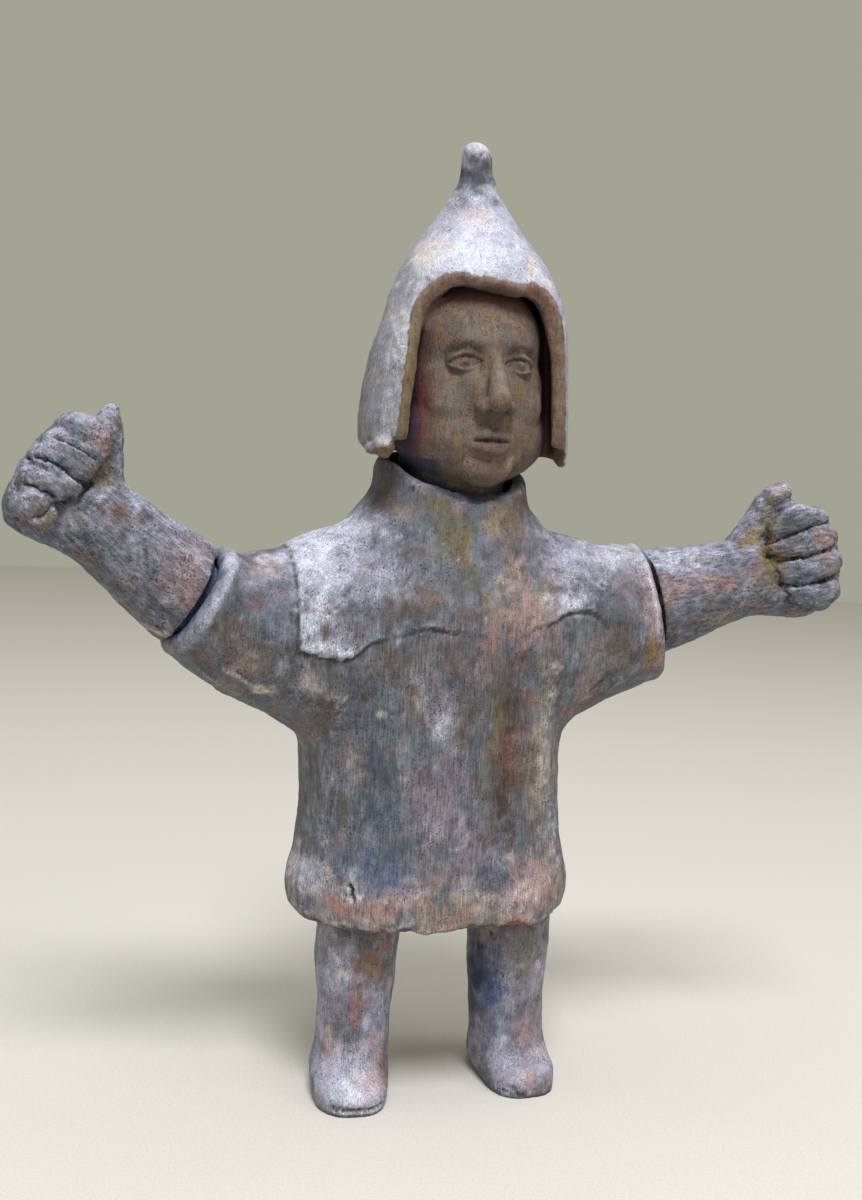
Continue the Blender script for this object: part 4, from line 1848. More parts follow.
    def build(self, body: RobeBody) -> Clay:
        """Put the head together and work its skin over.

        Args:
            body: The body that it sits on.

        Returns:
            The finished skin.
        """
        clay = Clay("hooded_head_clay")
        grain = Grain(31)
        clay.loft(self.hood_rings())
        shell = Clay("hood_shell")
        shell.bm, clay.bm = clay.bm, bmesh.new()
        shell.fuse(self.shell_voxel * U)
        outline = self.outline()
        shell.cut([[Vector((x, y, z)) * U for x, z in outline] for y in (-90.0, -20.0)])
        shell.cut(self.cavity_rings())
        clay.bm.from_mesh(shell.obj.data)
        bpy.data.objects.remove(shell.obj)
        self.add_brim(clay)
        clay.ball((-36.4, -26.0, 273.2), (4.4, 6.6, 3.8))
        self.add_neck(clay, body)
        self.add_head(clay)
        clay.fuse(self.rough_voxel * U)
        clay.soften(4)
        self.dent_face(clay, grain)
        clay.reopen()
        self.add_features(clay)
        clay.fuse(self.voxel * U)
        face = self.face_share(clay.points)
        line = self.brim_line(271.0)
        edge = np.exp(-(distance_to_line(clay.points, line) / 7.0) ** 4)
        clay.soften(5, (1.0 - 0.78 * face) * (1.0 - 0.7 * edge))
        self.carve_face(clay, grain)
        clay.tool(self.marks, grain)
        points = clay.points
        rough = grain.layers(points, (0.30, 13.0, 2, 1.0), (0.17, 5.0, 2, 2.0), (0.08, 2.0, 2, 3.0))
        face = self.face_share(points)
        edge = np.exp(-(distance_to_line(points, line) / 5.0) ** 2)
        rough = rough * (1.0 - 0.7 * face) + 0.42 * edge * grain.lumps(points, 4.0, 3, 4.0)
        clay.push(rough)
        clay.shave(Vector((0.0, 0.0, body.collar_rim - body.collar_depth + SEAT_GAP)) * U, -Z_AXIS)
        return clay

    def face_share(self, points: Array) -> Array:
        """Find the face.

        Args:
            points: Points in U.

        Returns:
            How much each point belongs to it, from 0 to 1.
        """
        apart = (points - np.array(self.at(0.0, -14.0, 298.0))) / np.array((28.0, 24.0, 44.0))
        apart[:, 1] *= np.where(apart[:, 1] < 0.0, 24.0 / 36.0, 1.0)
        return fade(-np.linalg.norm(apart, axis=1), -1.08, -0.86)


@dataclass
class HeadColours:
    """Where the slip, the stains and the dirt lie on the head and hood; lengths are in U."""

    hollow_top: float = 346.0
    stains: tuple[Stain, ...] = (
        patches(
            Pigment.SLATE, (-42, 2, 320, 9, 26, 34, .4), (-44, -2, 292, 7, 18, 24, .4),
            (12, -32, 352, 7, 8, 6, .3), (22, -24, 356, 7, 8, 7, .3), (-14, 26, 300, 18, 14, 20, .4),
            (38, -14, 318, 6, 18, 20, .35)),
        patches(
            Pigment.STEEL, (4, -10, 378, 14, 12, 9, .9), (4, -8, 387, 13, 12, 9, .8),
            (1, -14, 370, 11, 9, 7, .5), (30, -20, 336, 8, 12, 12, .4)),
        patches(
            Pigment.SOOT, (3, -9, 385, 11, 11, 9, .8), (-39, -20, 271, 5, 8, 3, .6),
            (40, -27, 268, 5, 6, 3.4, .6)),
        patches(Pigment.CLAY, (10, -10, 391, 2.8, 4, 5, .7), (30, -26, 342, 7, 12, 7, .4)),
        patches(Pigment.OLIVE, (-37, -30, 272, 6, 8, 5, .6)),
        patches(
            Pigment.CHALK, (-6, -34, 350, 22, 16, 12, .75), (-20, -24, 350, 12, 14, 14, .5),
            (2, -26, 364, 11, 10, 7, .5), (-30, -30, 318, 8, 12, 24, .45), (-37, -30, 288, 6, 8, 16, .4),
            (20, -36, 342, 10, 8, 6, .5), (6.4, -11, 393.4, 1.8, 3, 1.8, .8), (2, -6, 399, 3, 5, 2.4, .5)),
        patches(
            Pigment.CREAM, (-22, -21, 349, 5, 8, 7, .6), (-34, -20, 330, 4, 9, 8, .4),
            (19, -34, 346, 7, 8, 7, .5), (-36, -32, 274, 4, 4, 4, .5), (-38, -28, 272, 6, 7, 4, .4),
            (14, 26, 322, 16, 12, 22, .35)),
        patches(
            Pigment.BLUSH, (-18, -22, 354, 6, 8, 6, .45), (0, -22, 366, 6, 8, 5, .4),
            (24, -32, 340, 6, 9, 5, .45), (5, -6, 397, 5, 7, 3, .6), (2, -11, 396, 3, 3, 3, .4),
            (30, 12, 296, 10, 14, 16, .35)),
    )
    face_stains: tuple[Stain, ...] = (
        patches(Pigment.STONE, (4, -44, 300, 5, 8, 14, .25), (-10, -34, 292, 9, 9, 9, .3)),
        patches(Pigment.RUST, (-22, -26, 290, 5, 9, 16, .5), (8, -34, 268, 10, 8, 6, .35)),
        patches(Pigment.OLIVE, (14, -36, 298, 5, 8, 8, .3), (-8, -34, 322, 8, 8, 6, .25)),
        patches(Pigment.CREAM, (14, -34, 268, 5, 7, 7, .35), (-18, -28, 262, 9, 9, 2.4, .4)),
    )

    def inside_hood(self, points: Array, head: HoodedHead) -> tuple[Array, Array]:
        """Find how points lie within the hood.

        Args:
            points: Points in U.
            head: The head's sizes.

        Returns:
            How far out each point lies, with 1 at the hood's inner wall, and the level direction
            from the hood's middle to it.
        """
        x, y, z = points.T
        rows = smooth_rows(head.hood)
        half, ahead, centre_x, centre_y = (
            np.interp(z, rows[:, 0], rows[:, index]) for index in (1, 2, 4, 5))
        inside = (np.abs(x - centre_x) / np.maximum(half - head.hood_wall, 1.0)) ** head.power
        inside += (np.abs(y - centre_y) / np.maximum(ahead - head.hood_wall, 1.0)) ** head.power
        radial = np.stack([x - centre_x, y - centre_y], 1)
        return inside, radial / (np.linalg.norm(radial, axis=1, keepdims=True) + 1e-6)

    def paint_opening(self, coat: Coat, head: HoodedHead, skin: Array) -> Array:
        """Paint the bare clay of the brim and the dark inside of the hood.

        Args:
            coat: The head's coat.
            head: The head's sizes.
            skin: How much each point belongs to the face or the neck, from 0 to 1.

        Returns:
            How much each point belongs to the inside of the hood, from 0 to 1.
        """
        x, y, z = coat.points.T
        up = coat.normals[:, 2]
        inside, outward = self.inside_hood(coat.points, head)
        inward = -(outward * coat.normals[:, :2]).sum(axis=1)
        below = (z > 262.0) & (z < 345.0) & (y < -6.0)
        near = fade(-distance_to_line(coat.points, head.brim_line(270.0)), -10.0, -8.0)
        worn = 0.5 * coat.grain.lumps(coat.points, 3.0, 2, 9.0)
        bevel = fade(worn - distance_to_line(coat.points, head.brim_corner), -2.4, -2.0)
        rim = np.maximum(near * fade(0.8 + inward - 0.75 * up, 0.0, 0.15), bevel)
        rim = rim * (1.0 - skin) * (y < -6.0)
        inner = np.maximum(fade(inward, 0.1, 0.5) * below,
                           fade(-inside, -1.14, -1.04) * (z < self.hollow_top))
        inner *= (1.0 - skin) * (1.0 - rim)
        coat.lay(Pigment.CLAY, rim * 0.95)
        coat.lay(Pigment.RUST, rim * fade(coat.grain.lumps(coat.points, 6.0, 3, 7.0), 0.0, 0.4) * 0.5)
        coat.lay(Pigment.OLIVE, rim * fade(-x, 12.0, 30.0) * 0.4)
        coat.lay(Pigment.ROSE, rim * fade(z, 325.0, 336.0) * 0.3)
        coat.mottle(Pigment.UMBER, 5.0, 0.4, 0.6, 9.5, rim)
        coat.lay(Pigment.WINE, inner * 0.9)
        coat.lay(Pigment.NAVY, inner * (0.75 - 0.4 * fade(x, 20.0, 36.0)))
        coat.lay(Pigment.RUST, inner * fade(x, 20.0, 38.0) * 0.4)
        coat.cover *= 1.0 - 0.9 * np.maximum(inner, 0.7 * rim)
        return inner

    def paint_face(self, coat: Coat, head: HoodedHead, skin: Array) -> None:
        """Paint the face, darker to its sides, and the neck.

        Args:
            coat: The head's coat.
            head: The head's sizes.
            skin: How much each point belongs to the face or the neck, from 0 to 1.
        """
        x, y, z = coat.points.T
        coat.lay(Pigment.CLAY, skin)
        coat.cover *= 1.0 - 0.82 * skin
        coat.slip = coat.slip * (1.0 - skin[:, None]) + Pigment.SAND.linear * skin[:, None]
        for cloud in ((Pigment.UMBER, 9.0, 0.6, 0.7, 5.0), (Pigment.STONE, 8.0, 0.34, 0.4, 6.5),
                      (Pigment.RUST, 7.0, 0.24, 0.45, 7.0), (Pigment.SLATE, 6.0, 0.36, 0.5, 8.0),
                      (Pigment.BARK, 4.0, 0.3, 0.5, 8.5)):
            coat.mottle(*cloud, skin)
        coat.lay(Pigment.UMBER, skin * 0.22)
        coat.stain(self.face_stains)
        apart = np.abs(x - head.face_x)
        side = np.maximum(fade(apart, 21.0, 28.0), fade(z, 324.0, 336.0))
        coat.lay(Pigment.WINE, side * skin * 0.75)
        edge = np.maximum(fade(apart, 25.0, 29.5), fade(z, 332.0, 339.0))
        coat.lay(Pigment.NAVY, edge * skin * 0.75)
        coat.lay(Pigment.BARK, fade(-coat.normals[:, 2], 0.2, 0.9) * skin * 0.4)
        neck = (z < 276.0) * (np.hypot(x - COLLAR_X, y - COLLAR_Y) < 29.0)
        neck = neck * fade(-head.face_share(coat.points), -0.8, -0.3)
        coat.lay(Pigment.NAVY, neck * fade(-y, -2.0, 10.0) * 0.85)

    def paint(self, clay: Clay, head: HoodedHead) -> None:
        """Paint the head.

        Args:
            clay: Its finished skin.
            head: Its sizes.
        """
        coat = Coat(clay, Grain(47), Pigment.STONE)
        z, up = coat.points[:, 2], coat.normals[:, 2]
        inside, _ = self.inside_hood(coat.points, head)
        skin = np.maximum(head.face_share(coat.points), fade(-inside, -0.97, -0.88)) * (z < self.hollow_top)
        coat.mottle(Pigment.SLATE, 9.0, 0.4, 0.5, 2.0)
        coat.mottle(Pigment.SAND, 10.0, 0.3, 0.5, 3.0)
        coat.mottle(Pigment.STEEL, 5.0, 0.3, 0.5, 4.0)
        coat.cover = 0.78 + 0.20 * fade(up, 0.0, 0.6) + 0.16 * coat.grain.lumps(coat.points, 12.0, 4, 1.0)
        coat.cover = np.clip(coat.cover, 0.4, 1.0)
        coat.cover -= 0.3 * fade(-coat.normals[:, 0], 0.45, 1.0) * (z < 350.0)
        coat.stain(self.stains)
        coat.mottle(Pigment.CHALK, 8.0, 0.4, 0.4, 6.0, fade(up, 0.05, 0.6) * fade(z, 300.0, 345.0))
        inner = self.paint_opening(coat, head, skin)
        self.paint_face(coat, head, skin)
        coat.mottle(Pigment.SOOT, 2.4, 0.16, 0.35, 10.0)
        coat.wear(3, 24, (1.0 - 0.85 * skin) * (1.0 - 0.9 * inner) * fade(z, 270.0, 284.0))
        specks = 0.2 + 0.15 * skin + 0.5 * coat.grain.lumps(coat.points, 10.0, 3, 13.0)
        coat.specks = np.clip(specks, 0.0, 1.0)
        coat.strokes[:] = 0.5
        coat.store()


@dataclass
class Forearm:
    """A forearm with its fist, the palm to the front and the thumb up; lengths are in U."""

    name: str
    node: str
    arm: Arm
    plug: tuple[float, float]
    # Distance from the sleeve's end, half height, half depth.
    rows: tuple[Point, ...]
    wrist_rise: float
    # Fingers from the index down: reach and height of the knuckle, height of the middle joint, reach
    # and height of the tip, radius.
    fingers: tuple[Row, ...]
    # The row of knuckles: along the hand, to its open side, up, radius.
    knuckles: tuple[Row, ...]
    # Along the hand, to its open side, up, radius.
    thumb: tuple[Row, ...]
    # Creases of the fist: width, depth, then along and up in turn.
    creases: tuple[Row, ...]
    marks: tuple[Mark, ...]
    stains: tuple[Stain, ...]
    seed: int
    voxel: float = 0.47
    wrist_at: float = 44.0
    wrist_forward: float = 8.0
    standoff: float = 1.5
    bend_over: float = 14.0
    # Along the hand, to its open side, up, half height, half depth.
    palm: tuple[Row, ...] = (
        (-4.0, 0.0, 0.0, 16.4, 15.4),
        (8.0, -1.0, -0.5, 18.2, 14.6),
        (19.0, -3.0, -0.5, 21.6, 12.4),
        (26.5, -4.0, 0.0, 22.4, 10.6),
        (31.5, -4.0, 0.5, 20.0, 9.0),
        (35.0, -3.5, 1.0, 15.5, 5.5),
    )

    def hand_frame(self) -> tuple[Vector, tuple[Vector, Vector, Vector]]:
        """Origin of the hand at the wrist, and its directions."""
        origin = self.arm.seat + self.arm.frame(1.0)[0] * (self.wrist_at * U)
        return origin, self.arm.frame(1.0, self.wrist_rise, self.wrist_forward)

    def on_hand(self, ahead: float, open_side: float, up: float) -> Vector:
        """A place measured on the hand, in metres."""
        origin, (along, front, top) = self.hand_frame()
        return origin + (along * ahead + front * open_side + top * up) * U

    def add_limb(self, clay: Clay, stations: Sequence[Row]) -> None:
        """Add a finger or the thumb, whose stations are measured on the hand."""
        clay.limb([(*(self.on_hand(*row[:3]) / U), row[3]) for row in stations])

    def add_arm(self, clay: Clay) -> None:
        """Add the plug that sits in the sleeve and the arm up to the wrist.

        Args:
            clay: The forearm.
        """
        along = self.arm.frame(1.0)[0]
        rings = plug_rings(self.arm, self.plug, 0.0, (-MOUTH_DEPTH - 1.0, self.standoff - 0.6))
        for at, high, wide in smooth_rows(self.rows):
            _, front, up = self.arm.frame(min(1.0, at / self.bend_over))
            centre = self.arm.seat + along * ((self.standoff + at) * U)
            rings.append(oval(centre, front, up, wide * U, high * U, high * U, 2.0))
        clay.loft(rings)

    def add_fist(self, clay: Clay) -> None:
        """Add the palm, the rolled fingers, the knuckles and the thumb.

        Args:
            clay: The forearm.
        """
        _, (_, front, top) = self.hand_frame()
        clay.loft([oval(self.on_hand(ahead, open_side, up), front, top, wide * U, high * U, high * U, 2.3)
                   for ahead, open_side, up, high, wide in smooth_rows(self.palm)])
        for reach, knuckle, middle, tip_at, tip, radius in self.fingers:
            self.add_limb(clay, (
                (reach - 18.0, -6.0, knuckle, radius),
                (reach - 9.0, -4.5, knuckle, radius),
                (reach - radius, 2.0, knuckle, radius),
                (reach - radius - 0.6, 8.0, knuckle, radius),
                (reach - radius - 5.0, 11.0, 0.4 * knuckle + 0.6 * middle, radius),
                (0.5 * (reach + tip_at) - 1.0, 11.6, middle, radius),
                (tip_at + 0.7 * radius, 9.5, tip, radius * 0.92),
                (tip_at + 0.7 * radius, 6.0, tip, radius * 0.9),
            ))
        self.add_limb(clay, self.knuckles)
        self.add_limb(clay, self.thumb)

    def along_arm(self, points: Array) -> Array:
        """How far points are from the sleeve's end along the arm, in U."""
        return (points - np.array(self.arm.place)) @ np.array(self.arm.frame()[0])

    def on_axes(self, points: Array) -> Array:
        """Points measured on the hand: to its open side, up and along it, in U."""
        origin, (ahead, front, top) = self.hand_frame()
        return (points - np.array(origin) / U) @ np.array((front, top, ahead)).T

    def crease(self, clay: Clay, grain: Grain) -> None:
        """Cut the creases between the fingers, one after the other.

        Args:
            clay: The forearm.
            grain: Noise for the tool.
        """
        front = tuple(self.hand_frame()[1][1])
        for width, depth, *line in self.creases:
            path = tuple(tuple(self.on_hand(line[spot], 15.0, line[spot + 1]) / U)
                         for spot in range(0, len(line), 2))
            clay.tool([Mark(path, width, depth, Edge.SHARP, 0.5, through=front)], grain)

    def build(self) -> Clay:
        """Put the forearm together, work its skin over and paint it.

        Returns:
            The finished and painted skin.
        """
        clay = Clay(self.name)
        grain = Grain(self.seed)
        self.add_arm(clay)
        self.add_fist(clay)
        clay.fuse(self.voxel * U)
        at = self.along_arm(clay.points)
        clay.soften(14, np.clip((at - self.standoff - 1.0) / 4.0, 0.1, 1.0))
        clay.push(-1.6 * fade(self.on_axes(clay.points)[:, 0], 13.0, 17.5))
        clay.soften(4, fade(at, 40.0, 46.0))
        self.crease(clay, grain)
        clay.tool(self.marks, grain)
        points = clay.points
        at = self.along_arm(points)
        fist = 1.0 + 0.6 * fade(at, 40.0, 56.0)
        rough = 0.30 * grain.lumps(points, 11.0, 2, 1.0)
        rough += 0.24 * fist * grain.lumps(points, 4.6, 3, 2.0)
        rough += 0.15 * fist * grain.lumps(self.on_axes(points), (1.6, 1.6, 8.0), 2, 3.0)
        rim = np.exp(-((at - self.standoff) / 1.6) ** 2)
        rough += 0.35 * rim * grain.lumps(points, 3.4, 3, 4.0)
        clay.push(rough * fade(at, -1.0, 2.5))
        out = self.arm.frame()[0]
        clay.shave(self.arm.seat - out * ((MOUTH_DEPTH - SEAT_GAP) * U), -out)
        self.paint(clay)
        return clay

    def paint(self, clay: Clay) -> None:
        """Paint the forearm.

        Args:
            clay: Its finished skin.
        """
        coat = Coat(clay, Grain(self.seed + 7), Pigment.SLATE)
        points = coat.points
        up = coat.normals[:, 2]
        coat.way = self.on_axes(points)
        for cloud in ((Pigment.MAUVE, 8.0, 0.45, 0.6, 2.0), (Pigment.CLAY, 7.0, 0.34, 0.55, 3.0),
                      (Pigment.STEEL, 6.0, 0.36, 0.55, 5.0), (Pigment.UMBER, 5.0, 0.3, 0.5, 6.0),
                      (Pigment.NAVY, 4.0, 0.22, 0.5, 7.0)):
            coat.mottle(*cloud)
        coat.cover = 0.28 + 0.46 * fade(up, 0.1, 0.9) + 0.38 * coat.grain.lumps(points, 7.0, 4, 4.0)
        coat.cover = np.clip(coat.cover * (1.0 - 0.7 * fade(-up, 0.2, 0.9)), 0.0, 0.9)
        coat.stain(self.stains)
        coat.mottle(Pigment.SOOT, 2.2, 0.24, 0.45, 10.0)
        coat.wear(6, 50)
        coat.lay(Pigment.BLUE, fade(-self.along_arm(points), -self.standoff, -self.standoff + 0.8) * 0.85)
        coat.specks = np.clip(0.45 + 0.5 * coat.grain.lumps(points, 8.0, 3, 13.0), 0.0, 1.0)
        coat.strokes[:] = 0.6
        coat.store()


def right_forearm() -> Forearm:
    """Describe the right forearm: its fingers are rolled one over the other, with deep creases.

    Returns:
        The forearm.
    """
    return Forearm(
        name="right_forearm_clay",
        node="right_forearm",
        arm=RIGHT_ARM,
        plug=PLUG_RIGHT,
        rows=((0.0, 20.6, 20.4), (4.0, 21.0, 20.6), (14.0, 20.0, 19.6), (28.0, 18.4, 18.0),
              (42.0, 17.2, 16.4), (52.0, 17.4, 15.8)),
        wrist_rise=2.0,
        fingers=((38.8, 18.6, 21.4, 20.4, 18.0, 7.2), (39.6, 9.4, 12.0, 18.8, 13.2, 6.0),
                 (39.4, 3.2, 6.2, 17.8, 8.0, 5.4), (37.4, -6.6, -3.4, 18.0, 0.2, 5.6),
                 (33.2, -14.8, -14.0, 24.4, -12.8, 5.4)),
        knuckles=((31.6, -1.0, 18.6, 6.4), (32.8, -1.0, 8.0, 6.6), (32.0, -1.0, -2.0, 6.6),
                  (28.8, -1.0, -10.5, 6.6), (25.5, -1.0, -15.5, 6.4)),
        thumb=((6.0, 0.0, 6.0, 10.5), (12.5, 0.0, 15.0, 7.4), (17.8, -0.5, 22.2, 6.6),
               (22.0, -1.0, 28.4, 5.8), (24.4, -1.0, 32.6, 4.6), (25.6, -1.0, 34.6, 3.4)),
        creases=((1.0, -2.6, 41.0, -2.3, 36.7, 0.3, 31.0, 2.0, 23.6, 2.6, 17.4, 4.6),
                 (0.9, -1.3, 41.2, 8.6, 38.9, 9.6, 32.6, 11.0, 24.1, 12.6, 18.7, 13.6),
                 (0.9, -2.3, 37.7, -15.7, 36.5, -11.6, 32.7, -9.3, 26.5, -7.9, 22.8, -7.4, 18.2, -3.0),
                 (1.1, -1.6, 17.6, 13.4, 16.8, 9.0, 16.6, 5.0, 16.4, 0.0),
                 (1.1, -1.9, 23.0, -10.0, 23.2, -15.3, 26.6, -20.0)),
        marks=(
            Mark(((-157.0, -24.0, 278.6),), 0.8, -1.2),
            *spots((-162.7, -27.0, 271.5, 1.1, -1.0), (-166.0, -31.5, 262.6, 1.2, -1.1),
                   (-170.0, -28.0, 258.0, 1.2, -0.9), ragged=0.9),
            Mark(((-161.5, -35.0, 240.0),), 0.8, -1.0),
            Mark(((-140.0, -18.0, 286.0), (-136.8, -16.0, 282.0)), 1.4, -0.6, ragged=0.8),
            Mark(((-125.0, -20.0, 199.0), (-121.0, -24.0, 203.0)), 1.6, -0.9, ragged=0.9),
            Mark(((-117.0, -29.0, 208.0),), 1.2, -0.6, ragged=0.9),
        ),
        stains=(
            patches(Pigment.STEEL, (-124, -30, 222, 7, 8, 12, .5), (-150, -34, 262, 8, 6, 5, .4)),
            patches(Pigment.SLATE, (-140, -29, 230, 12, 9, 9, .5)),
            patches(Pigment.NAVY, (-160, -35, 259, 8, 4, 2, .6), (-150, -30, 256, 5, 6, 4, .5)),
            patches(Pigment.OLIVE, (-144, -27, 258, 6, 9, 8, .7), (-162, -35, 239, 11, 7, 5, .7)),
            patches(Pigment.OCHRE, (-143, -27, 262, 3, 6, 5, .6), (-156, -34, 242, 8, 6, 4, .5)),
            patches(Pigment.ROSE, (-116, -30, 219, 10, 9, 14, .4), (-108, -24, 229, 10, 9, 9, .4)),
            patches(Pigment.RUST, (-137, -30, 244, 8, 7, 6, .4), (-112, -31, 212, 5, 7, 6, .35)),
            patches(Pigment.ORANGE, (-145, -31, 267, 4, 6, 7, .3)),
            patches(Pigment.LILAC, (-166, -30, 269, 9, 9, 6, .5), (-130, -24, 232, 12, 8, 6, .35)),
            patches(Pigment.CHALK, (-138, -14, 287, 4, 6, 4, .4)),
            patches(Pigment.BLUSH, (-147, -32, 270, 6, 6, 5, .35), (-157, -35, 251.5, 6, 5, 4, .5)),
            patches(Pigment.CREAM, (-123, -20, 199, 7, 9, 3.4, .6)),
        ),
        seed=61,
    )


def left_forearm() -> Forearm:
    """Describe the left forearm: four fingers curled side by side, the thumb on end.

    Returns:
        The forearm.
    """
    return Forearm(
        name="left_forearm_clay",
        node="left_forearm",
        arm=LEFT_ARM,
        plug=PLUG_LEFT,
        rows=((0.0, 22.6, 21.4), (4.0, 22.8, 21.6), (16.0, 21.0, 20.0), (28.0, 18.8, 18.0),
              (40.0, 17.4, 16.4), (50.0, 17.8, 15.8)),
        wrist_rise=-3.0,
        fingers=((40.4, 18.8, 21.6, 14.6, 18.6, 6.1), (42.8, 10.6, 10.4, 12.4, 10.6, 5.8),
                 (43.0, 0.4, -1.0, 14.6, -0.8, 6.1), (40.0, -11.8, -12.8, 16.6, -10.6, 5.8)),
        knuckles=((19.0, -1.5, 28.6, 4.6), (24.4, -1.5, 26.0, 4.8), (28.6, -1.3, 22.2, 5.4),
                  (32.5, -1.0, 18.5, 5.6), (36.2, -1.0, 11.0, 6.4), (36.6, -1.0, 1.0, 6.6),
                  (34.6, -1.0, -10.0, 6.4), (31.6, -1.0, -15.4, 6.0)),
        thumb=((2.0, 0.0, 9.0, 11.0), (7.5, 0.0, 16.6, 8.6), (12.6, -0.5, 24.0, 6.8),
               (17.4, -1.0, 29.8, 5.9), (21.4, -1.0, 32.6, 5.5), (23.6, -1.0, 33.2, 4.9)),
        creases=((0.9, -2.0, 12.0, 13.8, 19.2, 14.6, 28.2, 16.3, 32.0, 17.0, 39.5, 17.0),
                 (0.9, -2.1, 11.2, 7.6, 19.8, 5.0, 27.5, 4.5, 30.5, 5.0, 40.6, 6.6),
                 (0.9, -2.1, 14.2, -5.0, 17.9, -6.4, 22.0, -7.1, 29.7, -7.1, 40.0, -6.3),
                 (1.5, -0.9, 12.0, 15.6, 10.6, 11.0, 11.8, 6.0, 14.0, 0.0, 14.6, -6.0),
                 (1.1, -1.8, 15.8, -8.6, 16.2, -12.4, 20.0, -15.8, 26.6, -19.6)),
        marks=(
            Mark(((120.0, -34.0, 230.0), (128.0, -37.0, 229.0), (136.0, -39.6, 231.0)), 1.0, -0.4,
                 Edge.SHARP, 0.8),
            Mark(((118.0, -36.0, 222.0), (130.0, -39.6, 222.0)), 1.0, -0.35, Edge.SHARP, 0.8),
            Mark(((102.0, -34.0, 226.0),), 1.4, -0.4, ragged=0.9),
            Mark(((148.6, -32.0, 263.0),), 1.4, -0.7, ragged=0.8),
        ),
        stains=(
            patches(Pigment.BARK, (142, -37, 250, 4, 6, 10, .4)),
            patches(Pigment.STEEL, (146, -46, 250, 9, 9, 5, .6), (150, -49, 226, 9, 6, 8, .5),
                    (122, -34, 228, 8, 8, 7, .5)),
            patches(Pigment.SLATE, (106, -34, 210, 14, 9, 8, .5), (147, -48, 240, 7, 7, 5, .4)),
            patches(Pigment.NAVY, (148, -45, 213, 7, 8, 4, .75), (141, -42, 244, 3, 5, 12, .4)),
            patches(Pigment.OLIVE, (139, -35, 251, 6, 8, 12, .8), (135, -40, 220, 6, 6, 8, .5),
                    (138, -40, 232, 5, 8, 12, .6)),
            patches(Pigment.OCHRE, (134, -36, 240, 6, 8, 8, .5), (138, -40, 230, 5.4, 8, 13, .4),
                    (120, -32, 206, 9, 8, 3.4, .5)),
            patches(Pigment.SAND, (130, -34, 242, 6, 7, 7, .5)),
            patches(Pigment.ROSE, (156, -50, 243, 6, 6, 7, .55), (158, -50, 233, 6, 6, 5, .5),
                    (92, -32, 219, 8, 9, 10, .7), (108, -33, 222, 9, 8, 5, .5)),
            patches(Pigment.RUST, (166, -46, 232, 3.6, 9, 16, .5)),
            patches(Pigment.ORANGE, (128, -39.6, 226, 4, 5, 6, .4), (118, -35, 220, 6, 6, 3, .35)),
            patches(Pigment.LILAC, (150, -46, 255, 9, 9, 4, .5), (152, -50, 229, 7, 6, 3, .4)),
            patches(Pigment.CHALK, (96, -26, 232, 12, 9, 5, .55)),
            patches(Pigment.BLUSH, (146, -32, 264, 6, 6, 4, .5)),
        ),
        seed=83,
    )


@dataclass(frozen=True)
class Light:
    """One soft light: a square panel that points at the figure."""

    name: str
    place: Point
    size: float
    power: float
    colour: Point

    def add(self, aim: Point) -> None:
        """Hang the light.

        Args:
            aim: Where it points.
        """
        data = bpy.data.lights.new(self.name, "AREA")
        data.shape = "SQUARE"
        data.size = self.size
        data.energy = self.power
        data.color = self.colour
        lamp = bpy.data.objects.new(self.name, data)
        lamp.location = self.place
        lamp.rotation_euler = (Vector(aim) - Vector(self.place)).to_track_quat("-Z", "Y").to_euler()
        bpy.context.scene.collection.objects.link(lamp)


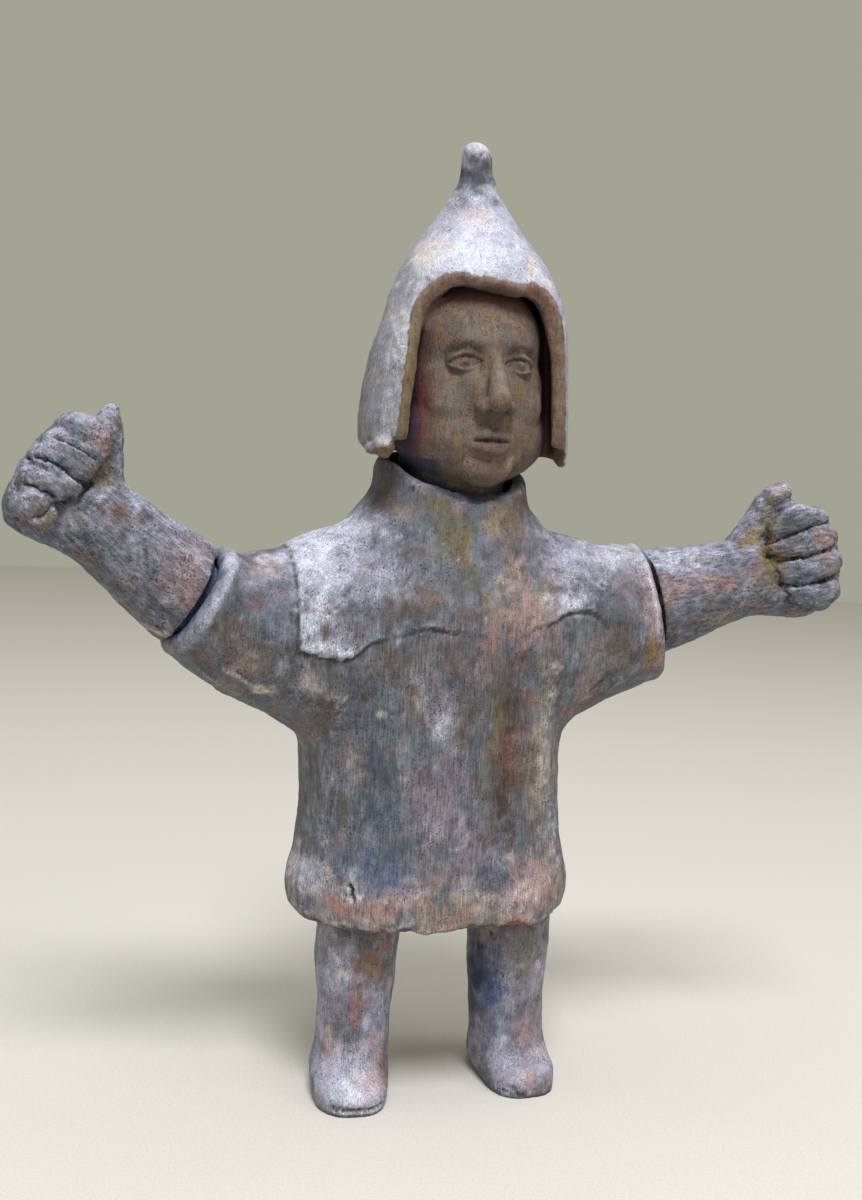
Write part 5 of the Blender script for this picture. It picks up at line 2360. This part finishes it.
@dataclass
class Studio:
    """Plain pale floor, soft light and the camera."""

    floor_reach: float = 3.0
    camera_place: Point = (-0.19468, -0.53064, 0.261)
    yaw: float = -20.0
    pitch: float = 5.1
    roll: float = 2.5
    lens: float = 40.44
    aim: Point = (0.0, 0.0, 0.22)
    lights: tuple[Light, ...] = (
        Light("key", (-0.27, -1.25, 2.25), 0.80, 60.0, (0.96, 0.98, 1.0)),
        Light("top", (-0.10, -0.10, 2.50), 1.60, 15.0, (0.90, 0.95, 1.0)),
        Light("fill", (1.50, -1.50, 1.60), 1.10, 8.5, (1.0, 0.97, 0.95)),
    )

    def floor(self) -> None:
        """Lay the floor."""
        mesh = bpy.data.meshes.new("floor")
        bm = bmesh.new()
        bmesh.ops.create_circle(bm, cap_ends=True, segments=96, radius=self.floor_reach)
        bm.to_mesh(mesh)
        bm.free()
        made = bpy.data.materials.new("floor_cloth")
        made.use_nodes = True
        nodes = Nodes(made.node_tree)
        shader = made.node_tree.nodes["Principled BSDF"]
        place = nodes.add("TexCoord").outputs["Object"]
        tone = nodes.ramp(nodes.noise(place, (900.0, 900.0, 900.0), 3.0), -0.3, 0.3)
        colour = nodes.mix(tone, (0.58, 0.555, 0.52, 1.0), (0.68, 0.655, 0.62, 1.0))
        made.node_tree.links.new(colour, shader.inputs["Base Color"])
        shader.inputs["Roughness"].default_value = 0.9
        mesh.materials.append(made)
        floor = bpy.data.objects.new("floor", mesh)
        bpy.context.scene.collection.objects.link(floor)

    def world(self) -> None:
        """Light the room softly from all sides."""
        world = bpy.data.worlds.new("room")
        world.use_nodes = True
        back = world.node_tree.nodes["Background"]
        back.inputs["Color"].default_value = (0.37, 0.37, 0.295, 1.0)
        back.inputs["Strength"].default_value = 1.0
        bpy.context.scene.world = world

    def camera(self) -> None:
        """Set the camera."""
        data = bpy.data.cameras.new("camera")
        data.sensor_fit = "VERTICAL"
        data.sensor_height = 36.0
        data.lens = self.lens
        data.clip_start = 0.01
        camera = bpy.data.objects.new("camera", data)
        yaw, pitch, roll = (math.radians(angle) for angle in (self.yaw, self.pitch, self.roll))
        ahead = Vector((-math.sin(yaw) * math.cos(pitch), math.cos(yaw) * math.cos(pitch),
                        -math.sin(pitch)))
        across = Vector((math.cos(yaw), math.sin(yaw), 0.0))
        up = across.cross(ahead)
        right = across * math.cos(roll) + up * math.sin(roll)
        top = up * math.cos(roll) - across * math.sin(roll)
        turn = Matrix((right, top, -ahead)).transposed().to_4x4()
        camera.matrix_world = Matrix.Translation(Vector(self.camera_place)) @ turn
        bpy.context.scene.collection.objects.link(camera)
        bpy.context.scene.camera = camera

    def build(self) -> None:
        """Set up the room, the lights and the camera."""
        self.floor()
        self.world()
        self.camera()
        for light in self.lights:
            light.add(self.aim)
        view = bpy.context.scene.view_settings
        view.view_transform = "Standard"
        view.look = "None"


def main() -> None:
    """Build the four pieces, dress them and set up the room."""
    logging.basicConfig(level=logging.INFO, format="%(name)s: %(message)s")
    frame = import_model()
    LOG.info("packed nodes: %s", ", ".join(sorted(frame["nodes"])))
    robe = ClayFinish("robe_slip", stroke=(1600.0, 1600.0, 110.0), dry_stroke=(1600.0, 1600.0, 200.0))
    hood = ClayFinish("hood_slip", stroke=(1100.0, 1100.0, 160.0), dry_stroke=(1300.0, 1300.0, 500.0),
                      cloud=0.6)
    skin = ClayFinish("hand_slip", stroke=(900.0, 900.0, 220.0), dry_stroke=(1300.0, 1300.0, 420.0),
                      relief=0.00060, cloud=1.2, hair=1.3)
    body = RobeBody()
    clay = body.build()
    RobeColours().paint(clay, body)
    finish_piece(clay, "robe_body", robe.make())
    head = HoodedHead()
    clay = head.build(body)
    HeadColours().paint(clay, head)
    finish_piece(clay, "hooded_head", hood.make())
    made = skin.make()
    for forearm in (right_forearm(), left_forearm()):
        finish_piece(forearm.build(), forearm.node, made)
    Studio().build()


if __name__ == "__main__":
    main()
